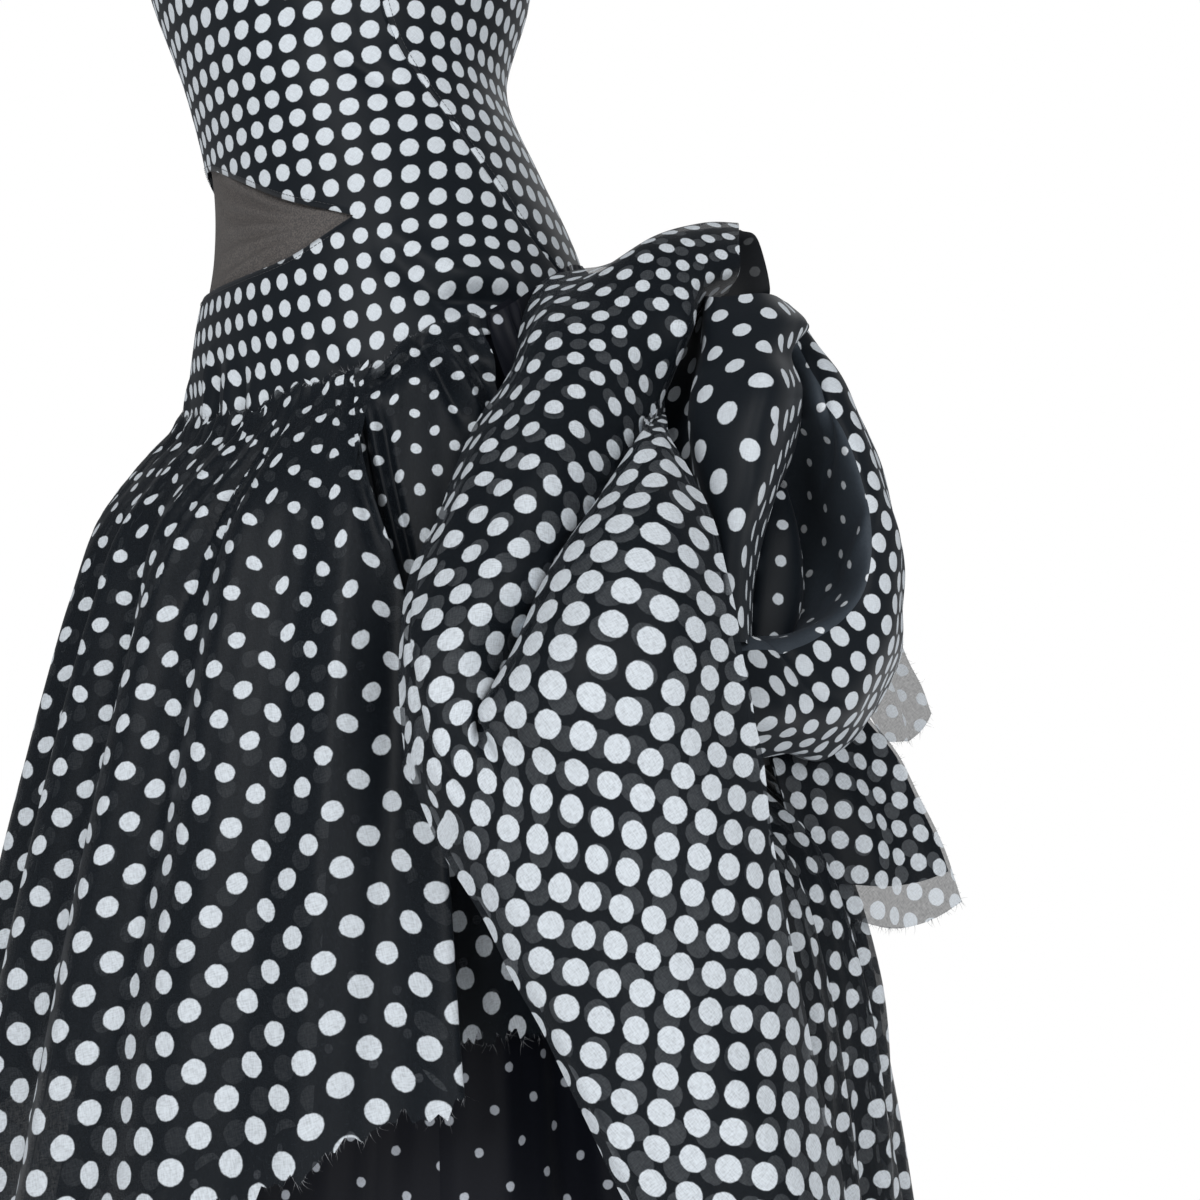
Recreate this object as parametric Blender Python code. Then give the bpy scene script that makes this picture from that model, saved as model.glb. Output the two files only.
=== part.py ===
"""Flamenco dress of dotted silk organza, as it stands when worn.

A strapless bodice runs on into a hip yoke, with a sheer diamond let in at the
front. A gathered overskirt falls over a longer underskirt, and a bias drape is
caught up at the left hip: a soft roll, a hanging double flap, a fold, a pouf,
a pleated fall and two raw-edged tails.

Units are metres, +Z is up, the wearer faces -Y and the wearer's left is +X.
The origin is the middle of the waist. A turn is the angle in degrees about the
figure: 0 at centre front, 90 at the left side, 180 at centre back.
"""

from collections import namedtuple

import bpy
import numpy as np
from mathutils import Matrix

# ---------------------------------------------------------------- driving sizes
CLOTH = 0.0014            # wall of one layer of cloth
SEAM_GAP = 0.0003         # gap between two pieces where they are sewn
LAYER_GAP = 0.0010        # air between a piece and the one it lies on
BEHIND_GAP = 0.0018       # air behind a panel, whose facets cut inside its curve
INSET_GAP = 0.0011        # the same where both have their columns in line
TAPE_GAP = 0.0014
ZIP_GAP = 0.0006          # air under the zip's slider
PULL_SIZE = (0.0050, 0.0012, 0.0140)    # the zip's pull tab: width, depth, length
PULL_HEAD = 0.0007        # the tab above the axis on which it swings
PULL_GAP = 0.0006         # air between the tab and the slider
SEAM_ALLOWANCE = 0.010    # how far a piece reaches behind the one it is sewn to
RAW_EDGE_STAND = 0.008    # how far the gathered raw edge stands up over the yoke

UNDERSKIRT_HEM = -0.90    # height of the underskirt's hem
CUTOUT_TIP_TURN = 74.0    # turn at which the front cut-out closes to a point
CUTOUT_TIP_HEIGHT = -0.100
SIDE_SEAM_FOOT = 138.0    # turn at which the side-back seam meets the skirt
OVERSKIRT_START = 170.0   # turn at which the overskirt begins, at centre back left
OVERSKIRT_END = 104.0     # turn at which it ends, under the hip drape
SPLIT_TURN = -85.0        # right side, where both parts of the overskirt meet

CUP_TURN = 31.0           # where the bust cups stand
CUP_HEIGHT = 0.135
CUP_DEPTH = 0.012

# ---------------------------------------------------------------- tables
# The figure: level rings, with the reach to each side of the waist's middle.
Ring = namedtuple("Ring", "height half_width front back")
FIGURE = (
    Ring(-0.260, 0.186, 0.101, 0.176),
    Ring(-0.200, 0.180, 0.097, 0.169),
    Ring(-0.150, 0.170, 0.091, 0.158),
    Ring(-0.100, 0.157, 0.083, 0.143),
    Ring(-0.050, 0.140, 0.084, 0.120),
    Ring(0.000, 0.128, 0.096, 0.099),
    Ring(0.065, 0.137, 0.119, 0.113),
    Ring(0.140, 0.150, 0.136, 0.122),
    Ring(0.215, 0.152, 0.130, 0.120),
)

# Edges that run round the body, by turn from centre front to centre back.
Edge = namedtuple("Edge", "turn height")
TOP_EDGE = (Edge(0, 0.183), Edge(14, 0.194), Edge(34, 0.204), Edge(62, 0.192),
            Edge(95, 0.172), Edge(140, 0.160), Edge(180, 0.156))
YOKE_FOOT = (Edge(0, -0.200), Edge(22, -0.210), Edge(45, -0.212), Edge(62, -0.200),
             Edge(78, -0.190), Edge(92, -0.170), Edge(106, -0.162), Edge(122, -0.142),
             Edge(138, -0.124), Edge(180, -0.118))
CUTOUT_TOP = (Edge(0, -0.046), Edge(20, -0.056), Edge(37, -0.071), Edge(55, -0.088),
              Edge(74, CUTOUT_TIP_HEIGHT))
CUTOUT_FOOT = (Edge(0, -0.124), Edge(20, -0.127), Edge(40, -0.126), Edge(55, -0.120),
               Edge(74, CUTOUT_TIP_HEIGHT))
OVERSKIRT_HEM = (Edge(-190, -0.600), Edge(-85, -0.640), Edge(0, -0.620), Edge(60, -0.574),
                 Edge(104, -0.525))

# The side-back seam: its turn at each height.
SeamRow = namedtuple("SeamRow", "height turn")
SIDE_SEAM = (SeamRow(-0.200, SIDE_SEAM_FOOT + 6), SeamRow(-0.124, SIDE_SEAM_FOOT),
             SeamRow(-0.108, 129), SeamRow(-0.066, 118), SeamRow(-0.027, 110),
             SeamRow(0.021, 100), SeamRow(0.110, 94), SeamRow(0.215, 92))

# How far a skirt stands off the figure, by its drop below the yoke's foot.
Flare = namedtuple("Flare", "drop under over")
FLARE = (Flare(-0.02, 0.000, 0.000), Flare(0.00, 0.000, 0.001), Flare(0.02, 0.002, 0.017),
         Flare(0.05, 0.006, 0.038), Flare(0.10, 0.014, 0.054), Flare(0.20, 0.030, 0.080),
         Flare(0.30, 0.047, 0.103), Flare(0.40, 0.064, 0.124), Flare(0.80, 0.135, 0.200))

# The overskirt's left fold: its turn at each height; behind it the cloth drops in.
OVERSKIRT_FOLD = (SeamRow(-0.640, 92), SeamRow(-0.530, 91), SeamRow(-0.300, 85), SeamRow(-0.190, 74))

# Sections of the hip drape, each from its near (front) edge to its far edge.
# belly is how far the cloth stands off that line, peak where along it, and
# round is 0 for a flat sheet and 1 for a half tube.
Fold = namedtuple("Fold", "near far belly peak round")

FLAP = (
    Fold((0.258, 0.134, -0.214), (0.266, 0.152, -0.219), 0.005, 0.40, 0.0),
    Fold((0.2853, 0.105, -0.261), (0.316, 0.152, -0.263), 0.012, 0.30, 0.0),
    Fold((0.3053, 0.078, -0.302), (0.331, 0.162, -0.307), 0.018, 0.26, 0.0),
    Fold((0.3215, 0.054, -0.344), (0.334, 0.168, -0.346), 0.018, 0.26, 0.0),
    Fold((0.323, 0.012, -0.367), (0.335, 0.173, -0.374), 0.018, 0.36, 0.0),
    Fold((0.327, 0.021, -0.400), (0.336, 0.178, -0.402), 0.018, 0.42, 0.0),
    Fold((0.332, 0.040, -0.433), (0.337, 0.186, -0.442), 0.014, 0.45, 0.0),
    Fold((0.341, 0.064, -0.477), (0.339, 0.193, -0.483), 0.012, 0.50, 0.0),
    Fold((0.353, 0.090, -0.524), (0.342, 0.201, -0.532), 0.010, 0.50, 0.0),
    Fold((0.366, 0.116, -0.580), (0.348, 0.211, -0.591), 0.008, 0.50, 0.0),
    Fold((0.376, 0.137, -0.650), (0.356, 0.222, -0.664), 0.006, 0.50, 0.0),
)
# Where a fold is sewn to the drape's base, its edge follows that at these places.
Seam = namedtuple("Seam", "turn height")
MID_FOLD_SEAM = (Seam(138, -0.152), Seam(132, -0.178), Seam(128, -0.208), Seam(124, -0.242),
                 Seam(122, -0.276), Seam(122, -0.312))
RIM_SEAM = (Seam(163, -0.148), Seam(165, -0.190), Seam(166, -0.240), Seam(166, -0.292),
            Seam(165, -0.332), Seam(160, -0.356), Seam(150, -0.366), Seam(138, -0.362))

MID_FOLD = (
    Fold(None, (0.189, 0.224, -0.154), 0.014, 0.55, 0.8),
    Fold(None, (0.180, 0.239, -0.174), 0.036, 0.58, 0.8),
    Fold(None, (0.180, 0.239, -0.201), 0.052, 0.58, 0.8),
    Fold(None, (0.183, 0.228, -0.236), 0.064, 0.54, 0.8),
    Fold(None, (0.189, 0.211, -0.274), 0.066, 0.50, 0.8),
    Fold(None, (0.190, 0.205, -0.318), 0.046, 0.50, 0.8),
)
POUF_HOLLOW = (
    Fold((0.172, 0.2400, -0.163), (0.170, 0.248, -0.162), -0.002, 0.50, 0.3),
    Fold((0.172, 0.2420, -0.186), (0.166, 0.255, -0.192), -0.014, 0.50, 0.3),
    Fold((0.172, 0.2370, -0.214), (0.171, 0.266, -0.224), -0.030, 0.50, 0.3),
    Fold((0.175, 0.2240, -0.248), (0.177, 0.276, -0.262), -0.042, 0.50, 0.3),
    Fold((0.179, 0.2120, -0.278), (0.186, 0.271, -0.297), -0.040, 0.50, 0.3),
    Fold((0.182, 0.2050, -0.306), (0.206, 0.248, -0.321), -0.022, 0.50, 0.3),
    Fold((0.194, 0.2030, -0.324), (0.222, 0.220, -0.332), -0.006, 0.50, 0.3),
)
POUF_RIM = (
    Fold((0.174, 0.250, -0.164), None, 0.040, 0.40, 0.9),
    Fold((0.170, 0.258, -0.192), None, 0.068, 0.40, 0.9),
    Fold((0.175, 0.269, -0.224), None, 0.086, 0.42, 0.9),
    Fold((0.182, 0.280, -0.262), None, 0.094, 0.44, 0.9),
    Fold((0.191, 0.275, -0.297), None, 0.092, 0.44, 0.9),
    Fold((0.211, 0.251, -0.323), None, 0.070, 0.42, 0.9),
    Fold((0.227, 0.223, -0.335), None, 0.052, 0.42, 0.9),
    Fold((0.237, 0.195, -0.333), None, 0.036, 0.42, 0.9),
)
RIM_FOLDS = 3.0
RIM_FOLD_DEPTH = 0.005
FALL = (
    Fold((0.224, 0.120, -0.402), None, 0.042, 0.50, 0.7),
    Fold((0.282, 0.130, -0.440), None, 0.068, 0.56, 0.7),
    Fold((0.293, 0.136, -0.500), None, 0.079, 0.56, 0.7),
    Fold((0.296, 0.144, -0.570), None, 0.079, 0.56, 0.7),
    Fold((0.297, 0.152, -0.655), None, 0.077, 0.56, 0.7),
)
FALL_SEAM = (Seam(167, -0.402), Seam(168, -0.445), Seam(168, -0.510), Seam(168, -0.575), Seam(168, -0.650))
FALL_PLEATS = 7
FALL_PLEAT_DEPTH = 0.007


# ---------------------------------------------------------------- curves and forms
def column(table, name):
    """Return one named column of a table as an array."""
    return np.array([getattr(row, name) for row in table], dtype=float)


def smooth(xs, ys, at):
    """Read a smooth curve through the points (xs, ys) at the places given.

    Between two points it is a cubic whose slopes are the means of its
    neighbours' slopes. ys may hold vectors, one row a point.
    """
    xs = np.asarray(xs, dtype=float)
    ys = np.asarray(ys, dtype=float)
    if xs[0] > xs[-1]:
        xs, ys = xs[::-1], ys[::-1]
    slopes = np.gradient(ys, xs, axis=0)
    at = np.clip(np.asarray(at, dtype=float), xs[0], xs[-1])
    cell = np.clip(np.searchsorted(xs, at, side="right") - 1, 0, len(xs) - 2)
    width = xs[cell + 1] - xs[cell]
    t = (at - xs[cell]) / width
    t = t.reshape(t.shape + (1,) * (ys.ndim - 1))
    width = width.reshape(t.shape)
    return ((1 + 2 * t) * (1 - t) ** 2 * ys[cell] + t * (1 - t) ** 2 * width * slopes[cell]
            + t * t * (3 - 2 * t) * ys[cell + 1] + t * t * (t - 1) * width * slopes[cell + 1])


def ease(value):
    """Rise smoothly from 0 to 1 as the value goes from 0 to 1."""
    t = np.clip(value, 0, 1)
    return t * t * (3 - 2 * t)


def edge_height(edge, turn):
    """Height of a body edge at a turn, the same on the left and the right."""
    around = np.abs((np.asarray(turn, dtype=float) + 180) % 360 - 180)
    return smooth(column(edge, "turn"), column(edge, "height"), around)


def cup(turn, height):
    """How far the bust cups stand off the figure."""
    around = np.abs((np.asarray(turn, dtype=float) + 180) % 360 - 180)
    return CUP_DEPTH * np.exp(-((around - CUP_TURN) / 21) ** 2 - ((height - CUP_HEIGHT) / 0.045) ** 2)


def on_figure(turn, height, lift=0.0):
    """Points on the figure's rings, moved out by lift at right angles to them."""
    turn, height, lift = np.broadcast_arrays(*np.atleast_1d(turn, height, lift))
    heights = column(FIGURE, "height")
    half_width = smooth(heights, column(FIGURE, "half_width"), height)
    front = smooth(heights, column(FIGURE, "front"), height)
    back = smooth(heights, column(FIGURE, "back"), height)
    depth = (front + back) / 2
    middle = (back - front) / 2
    angle = np.radians(turn)
    out_x = np.sin(angle) / half_width
    out_y = -np.cos(angle) / depth
    length = np.hypot(out_x, out_y)
    lift = lift + cup(turn, height)
    return np.stack((half_width * np.sin(angle) + lift * out_x / length,
                     middle - depth * np.cos(angle) + lift * out_y / length,
                     height + 0.0 * angle), axis=-1)


def bodice_heights(foot_turn, upper_rows, lower_rows):
    """Heights of the panels' rows, down a column that ends at foot_turn."""
    top = edge_height(TOP_EDGE, foot_turn)
    foot = edge_height(YOKE_FOOT, foot_turn)
    inside = np.abs(foot_turn) < CUTOUT_TIP_TURN
    above = np.where(inside, edge_height(CUTOUT_TOP, foot_turn), CUTOUT_TIP_HEIGHT)
    below = np.where(inside, edge_height(CUTOUT_FOOT, foot_turn), CUTOUT_TIP_HEIGHT)
    share_up = np.linspace(0, 1, upper_rows + 1)[:, None]
    share_low = np.linspace(0, 1, lower_rows + 1)[:, None]
    return top + (above - top) * share_up, below + (foot - below) * share_low


def seam_turn(height):
    """Turn of the side-back seam at a height."""
    return smooth(column(SIDE_SEAM, "height"), column(SIDE_SEAM, "turn"), height)


def fold_surface(rows, across, down, level=False):
    """Points of a draped sheet through its fold sections.

    The near and far edges are smooth curves through the sections. A section
    runs from one to the other, and stands off that line along the sheet's
    outward normal by belly times a half sine whose peak is where peak says.
    With level, it stands off level with the floor.
    """
    stations = np.linspace(0, 1, len(rows))
    at = np.linspace(0, 1, down + 1)
    near, far, belly, peak, roundness = (
        smooth(stations, column(rows, name), at) for name in Fold._fields)
    share = np.linspace(0, 1, across + 1)[None, :]
    half_turn = (1 - np.cos(np.pi * share)) / 2
    along = share + (half_turn - share) * roundness[:, None]
    line = near[:, None, :] + (far - near)[:, None, :] * along[:, :, None]
    middle = (near + far) / 2
    outward = np.cross(np.gradient(middle, axis=0), far - near)
    if level:
        outward[:, 2] = 0.0
    outward = outward / np.linalg.norm(outward, axis=1, keepdims=True)
    skew = np.log(0.5) / np.log(peak)
    rise = belly[:, None] * np.sin(np.pi * share ** skew[:, None])
    return line + rise[:, :, None] * outward[:, None, :]


def outward_normals(points):
    """Unit normals of a grid of points, rows running down and columns to the far side."""
    down = np.gradient(points, axis=0)
    across = np.gradient(points, axis=1)
    normal = np.cross(down, across)
    return normal / np.linalg.norm(normal, axis=2, keepdims=True)


# ---------------------------------------------------------------- Blender objects
def clear_scene():
    """Remove every object that the file opens with."""
    for found in list(bpy.data.objects):
        bpy.data.objects.remove(found, do_unlink=True)


def make_material(name, colour, roughness, metallic=0.0):
    """A Principled material of one colour."""
    material = bpy.data.materials.new(name)
    material.use_nodes = True
    shader = material.node_tree.nodes["Principled BSDF"]
    shader.inputs["Base Color"].default_value = (*colour, 1.0)
    shader.inputs["Roughness"].default_value = roughness
    shader.inputs["Metallic"].default_value = metallic
    return material


def grid_faces(rows, columns, start=0):
    """Quads of a grid, wound so that a grid going down and round faces out."""
    first = start + np.arange(rows)[:, None] * (columns + 1) + np.arange(columns)[None, :]
    quads = np.stack((first, first + columns + 1, first + columns + 2, first + 1), axis=-1)
    return quads.reshape(-1, 4)


def cloth_piece(name, points, faces, material, wall=CLOTH):
    """Make an object whose outer face is the sheet given, with a wall inside it."""
    mesh = bpy.data.meshes.new(name)
    mesh.from_pydata(np.asarray(points).reshape(-1, 3).tolist(), [], np.asarray(faces).tolist())
    mesh.update()
    mesh.materials.append(material)
    mesh.shade_smooth()
    piece = bpy.data.objects.new(name, mesh)
    bpy.context.scene.collection.objects.link(piece)
    shell = piece.modifiers.new("wall", "SOLIDIFY")
    shell.thickness = wall
    shell.offset = -1.0
    return piece


def grid_piece(name, points, material, wall=CLOTH):
    """A cloth piece made from one grid of points."""
    rows, columns = points.shape[0] - 1, points.shape[1] - 1
    return cloth_piece(name, points, grid_faces(rows, columns), material, wall)


def small_block(name, size, centre, tilt, material, bevel, origin=(0.0, 0.0, 0.0)):
    """A small bevelled block, tilted about X. Its centre is measured from its origin."""
    x, y, z = (length / 2 for length in size)
    corners = [(sx * x, sy * y, sz * z) for sx in (-1, 1) for sy in (-1, 1) for sz in (-1, 1)]
    faces = [(0, 1, 3, 2), (4, 6, 7, 5), (0, 4, 5, 1), (2, 3, 7, 6), (0, 2, 6, 4), (1, 5, 7, 3)]
    mesh = bpy.data.meshes.new(name)
    mesh.from_pydata(corners, [], faces)
    mesh.transform(Matrix.Translation(centre) @ Matrix.Rotation(tilt, 4, "X"))
    mesh.update()
    mesh.materials.append(material)
    block = bpy.data.objects.new(name, mesh)
    block.location = origin
    bpy.context.scene.collection.objects.link(block)
    edges = block.modifiers.new("edges", "BEVEL")
    edges.width = bevel
    edges.segments = 2
    return block


# ---------------------------------------------------------------- bodice and yoke
UPPER_ROWS = 8
LOWER_ROWS = 5
FRONT_COLUMNS = 20        # across the cut-out
SIDE_COLUMNS = 7          # from the cut-out's tip to the side-back seam
BACK_COLUMNS = 8


def front_columns():
    """Foot turn of each column of the front panel, and its share of the side."""
    middle = np.linspace(-CUTOUT_TIP_TURN, CUTOUT_TIP_TURN, FRONT_COLUMNS + 1)
    share = np.linspace(0, 1, SIDE_COLUMNS + 1)[1:]
    side = CUTOUT_TIP_TURN + (SIDE_SEAM_FOOT - CUTOUT_TIP_TURN) * share
    turns = np.concatenate((-side[::-1], middle, side))
    shares = np.concatenate((share[::-1], np.zeros(len(middle)), share))
    return turns, shares


def front_points(foot_turn, share, heights, lift):
    """Points of the front panel at the heights given, one column a foot turn."""
    reach = CUTOUT_TIP_TURN + (seam_turn(heights) - CUTOUT_TIP_TURN) * share
    turn = np.where(share > 0, np.sign(foot_turn) * reach, foot_turn)
    return on_figure(turn, heights, lift)


def build_front_panel(material):
    """The front, bodice and yoke in one, split round the diamond cut-out.

    The upper rows end at the cut-out's top and the lower rows begin at its
    foot. From the tip outwards both share one row of points.
    """
    turns, shares = front_columns()
    upper, lower = bodice_heights(turns, UPPER_ROWS, LOWER_ROWS)
    columns = len(turns)
    points = np.concatenate((front_points(turns, shares, upper, 0.0).reshape(-1, 3),
                             front_points(turns, shares, lower, 0.0).reshape(-1, 3)))
    faces = np.concatenate((grid_faces(UPPER_ROWS, columns - 1),
                            grid_faces(LOWER_ROWS, columns - 1, (UPPER_ROWS + 1) * columns)))
    shared = np.flatnonzero(np.abs(turns) >= CUTOUT_TIP_TURN - 1e-6)
    renumber = np.arange(len(points))
    renumber[(UPPER_ROWS + 1) * columns + shared] = UPPER_ROWS * columns + shared
    kept = np.unique(renumber)
    faces = np.searchsorted(kept, renumber[faces])
    return cloth_piece("front_panel", points[kept], faces, material)


def build_sheer_inset(material):
    """The sheer diamond, sewn behind the edges of the cut-out."""
    turns = np.linspace(-CUTOUT_TIP_TURN, CUTOUT_TIP_TURN, FRONT_COLUMNS + 1)
    top = edge_height(CUTOUT_TOP, turns) + SEAM_ALLOWANCE
    foot = edge_height(CUTOUT_FOOT, turns) - SEAM_ALLOWANCE
    share = np.linspace(0, 1, 6)[:, None]
    heights = top + (foot - top) * share
    return grid_piece("sheer_inset", on_figure(turns, heights, -CLOTH - INSET_GAP), material)


def build_back_panel(name, side, material):
    """One back panel, from the side-back seam to the zip; side is 1 on the left."""
    share = np.linspace(0, 1, BACK_COLUMNS + 1)
    foot_turn = SIDE_SEAM_FOOT + (180 - SIDE_SEAM_FOOT) * share
    upper, lower = bodice_heights(foot_turn, UPPER_ROWS, LOWER_ROWS)
    heights = np.concatenate((upper, lower[1:]))
    start = seam_turn(heights[:, :1])
    turn = start + (180 - start) * share
    reach = np.degrees(SEAM_GAP / 0.12)
    turn = turn + reach * (1 - 2 * share)
    points = on_figure(side * turn, heights, 0.0)
    return grid_piece(name, points if side > 0 else points[:, ::-1], material)


TAPE_ROWS = UPPER_ROWS + 2        # the tape stops above the underskirt's edge


def build_zip(tape_material, metal):
    """The closure at centre back: tape behind the panels, slider and swinging pull outside."""
    turns = np.linspace(173, 187, 5)
    upper, lower = bodice_heights(np.full(5, 180.0), UPPER_ROWS, LOWER_ROWS)
    heights = np.concatenate((upper, lower[1:]))[:TAPE_ROWS]
    grid_piece("zip_tape", on_figure(turns, heights, -CLOTH - TAPE_GAP), tape_material, 0.0010)
    slider_height = 0.143
    slider_depth = 0.0030
    here = on_figure(180.0, slider_height)[0]
    step = on_figure(180.0, slider_height + 0.005)[0] - on_figure(180.0, slider_height - 0.005)[0]
    tilt = -np.arctan2(step[1], step[2])
    stand = slider_depth / 2 + ZIP_GAP
    small_block("zip_slider", (0.0065, slider_depth, 0.0095), (0.0, here[1] + stand, slider_height),
                tilt, metal, 0.0008)
    swing_out = here[1] + ZIP_GAP + slider_depth + PULL_GAP + PULL_SIZE[1] / 2
    small_block("zip_pull", PULL_SIZE, (0.0, 0.0, PULL_HEAD - PULL_SIZE[2] / 2), 0.0, metal, 0.0004,
                origin=(0.0, swing_out, slider_height))


# ---------------------------------------------------------------- skirts
def gathers(turn, count, shift):
    """Uneven waves round the skirt, from 0 in a trough to 1 on a crest."""
    angle = np.radians(turn)
    phase = count * angle + 0.9 * np.sin(3 * angle + shift) + 0.6 * np.sin(5 * angle + 2 * shift)
    return 0.5 + 0.5 * np.cos(phase)


UNDERSKIRT_WAVES = 15
UNDERSKIRT_WAVE_DEPTH = 0.012
OVERSKIRT_WAVES = 24
OVERSKIRT_WAVE_DEPTH = 0.016
OVERSKIRT_STEP = 3.7      # turn of one column of the overskirt


def underskirt_points(turns, rows):
    """Points of the underskirt: its waves stand inwards from its flare."""
    start = edge_height(YOKE_FOOT, turns) + SEAM_ALLOWANCE
    share = np.linspace(0, 1, rows + 1)[:, None] ** 1.3
    heights = start + (UNDERSKIRT_HEM - start) * share
    drop = edge_height(YOKE_FOOT, turns) - heights
    flare = smooth(column(FLARE, "drop"), column(FLARE, "under"), drop)
    depth = UNDERSKIRT_WAVE_DEPTH * ease(drop / 0.3)
    wave = depth * (gathers(turns, UNDERSKIRT_WAVES, 0.7) - 1)
    return on_figure(turns, heights, flare + wave - CLOTH - BEHIND_GAP)


def overskirt_points(turns, rows):
    """Points of the overskirt: gathered edge on the yoke, crests, and the left fold."""
    foot = edge_height(YOKE_FOOT, turns)
    start = foot + RAW_EDGE_STAND
    hem = smooth(column(OVERSKIRT_HEM, "turn"), column(OVERSKIRT_HEM, "height"), turns)
    hem = hem + 0.006 * np.sin(np.radians(turns) * 9)
    share = np.linspace(0, 1, rows + 1)[:, None] ** 1.7
    heights = start + (hem - start) * share
    drop = foot - heights
    over = smooth(column(FLARE, "drop"), column(FLARE, "over"), drop)
    under = smooth(column(FLARE, "drop"), column(FLARE, "under"), drop)
    wave = OVERSKIRT_WAVE_DEPTH * ease((drop + 0.004) / 0.12) * (gathers(turns, OVERSKIRT_WAVES, 1.9) - 0.6)
    fold = smooth(column(OVERSKIRT_FOLD, "height"), column(OVERSKIRT_FOLD, "turn"), heights)
    behind = ease((turns - fold) / 8) * (turns > 0)
    flare = over + wave + (under + 0.007 - over - wave) * behind * ease(drop / 0.03)
    return on_figure(turns, heights, flare + CLOTH + LAYER_GAP)


def build_skirts(under_material, over_material):
    """Both skirts, each in a front and a back part that meet at the sides."""
    gap = np.degrees(SEAM_GAP / 0.18)
    front = np.linspace(-90 + gap, 90 - gap, 33)
    back = np.linspace(90 + gap, 270 - gap, 33)
    grid_piece("underskirt_front", underskirt_points(front, 5), under_material)
    grid_piece("underskirt_back", underskirt_points(back, 5), under_material)
    front_count = round((OVERSKIRT_END - SPLIT_TURN) / OVERSKIRT_STEP)
    back_count = round((SPLIT_TURN + 360 - OVERSKIRT_START) / OVERSKIRT_STEP)
    front = np.linspace(SPLIT_TURN + gap, OVERSKIRT_END, front_count + 1)
    back = np.linspace(OVERSKIRT_START - 360, SPLIT_TURN - gap, back_count + 1)
    grid_piece("overskirt_front", overskirt_points(front, 7), over_material)
    grid_piece("overskirt_back", overskirt_points(back, 7), over_material)


# ---------------------------------------------------------------- hip drape
BASE_START = 106.0        # turn at which the drape's base begins, under the roll
BASE_END = 168.5          # turn at which it meets the overskirt's back part
BASE_HEM = -0.460
BASE_STAND = 0.010        # how far it stands off the underskirt
BASE_WAVES = 20
BASE_WAVE_DEPTH = 0.004
YOKE_STAND = 0.0044       # the roll's edge stands this far off the yoke
# How far the edges of the other folds stand off the base.
RIM_STAND = 0.0030
MID_FOLD_STAND = 0.0011
FALL_STAND = 0.0021


def base_lift(turn, height):
    """How far the drape's base stands off the figure."""
    drop = edge_height(YOKE_FOOT, turn) - height
    under = smooth(column(FLARE, "drop"), column(FLARE, "under"), drop)
    wave = BASE_WAVE_DEPTH * ease(drop / 0.08) * gathers(turn, BASE_WAVES, 0.3)
    return under + BASE_STAND * ease((drop + 0.004) / 0.05) + wave + CLOTH + LAYER_GAP


def sewn(rows, seam, end, stand):
    """Fold sections whose near or far end lies on the drape's base."""
    placed = (on_figure(at.turn, at.height, base_lift(at.turn, at.height) + stand)[0] for at in seam)
    return tuple(row._replace(**{end: tuple(point)}) for row, point in zip(rows, placed))


def yoke_point(turn, height):
    """A point that lies on the yoke's outer face."""
    return tuple(on_figure(turn, height, YOKE_STAND)[0])


def roll_sections():
    """The long soft roll, from its open loop end down to the flap's left edge."""
    return (
        Fold((0.165, 0.222, -0.152), (0.208, 0.214, -0.150), 0.030, 0.50, 0.9),
        Fold((0.140, 0.188, -0.148), (0.214, 0.188, -0.156), 0.042, 0.50, 0.9),
        Fold((0.118, 0.157, -0.136), (0.224, 0.162, -0.176), 0.042, 0.48, 0.9),
        Fold(yoke_point(136, -0.114), (0.234, 0.148, -0.198), 0.034, 0.54, 0.9),
        Fold(yoke_point(117, -0.138), (0.241, 0.140, -0.214), 0.048, 0.50, 0.9),
        Fold((0.212, 0.072, -0.196), (0.262, 0.119, -0.249), 0.048, 0.50, 0.9),
        Fold((0.266, 0.041, -0.250), (0.283, 0.095, -0.277), 0.044, 0.50, 0.9),
        Fold((0.285, 0.020, -0.298), (0.299, 0.075, -0.311), 0.038, 0.50, 0.8),
        Fold((0.300, 0.013, -0.338), (0.310, 0.062, -0.340), 0.026, 0.50, 0.7),
        Fold((0.311, 0.010, -0.368), (0.309, 0.046, -0.361), 0.008, 0.50, 0.6),
    )


def ripples(points, count, depth, shift=0.0):
    """Soft ridges that run down a sheet, as offsets along its normals."""
    share = np.linspace(0, 1, points.shape[1])[None, :, None]
    wave = np.sin(2 * np.pi * count * share + 0.5 * np.sin(9 * share + shift))
    return depth * wave * np.sin(np.pi * share) ** 0.5 * outward_normals(points)


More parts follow.
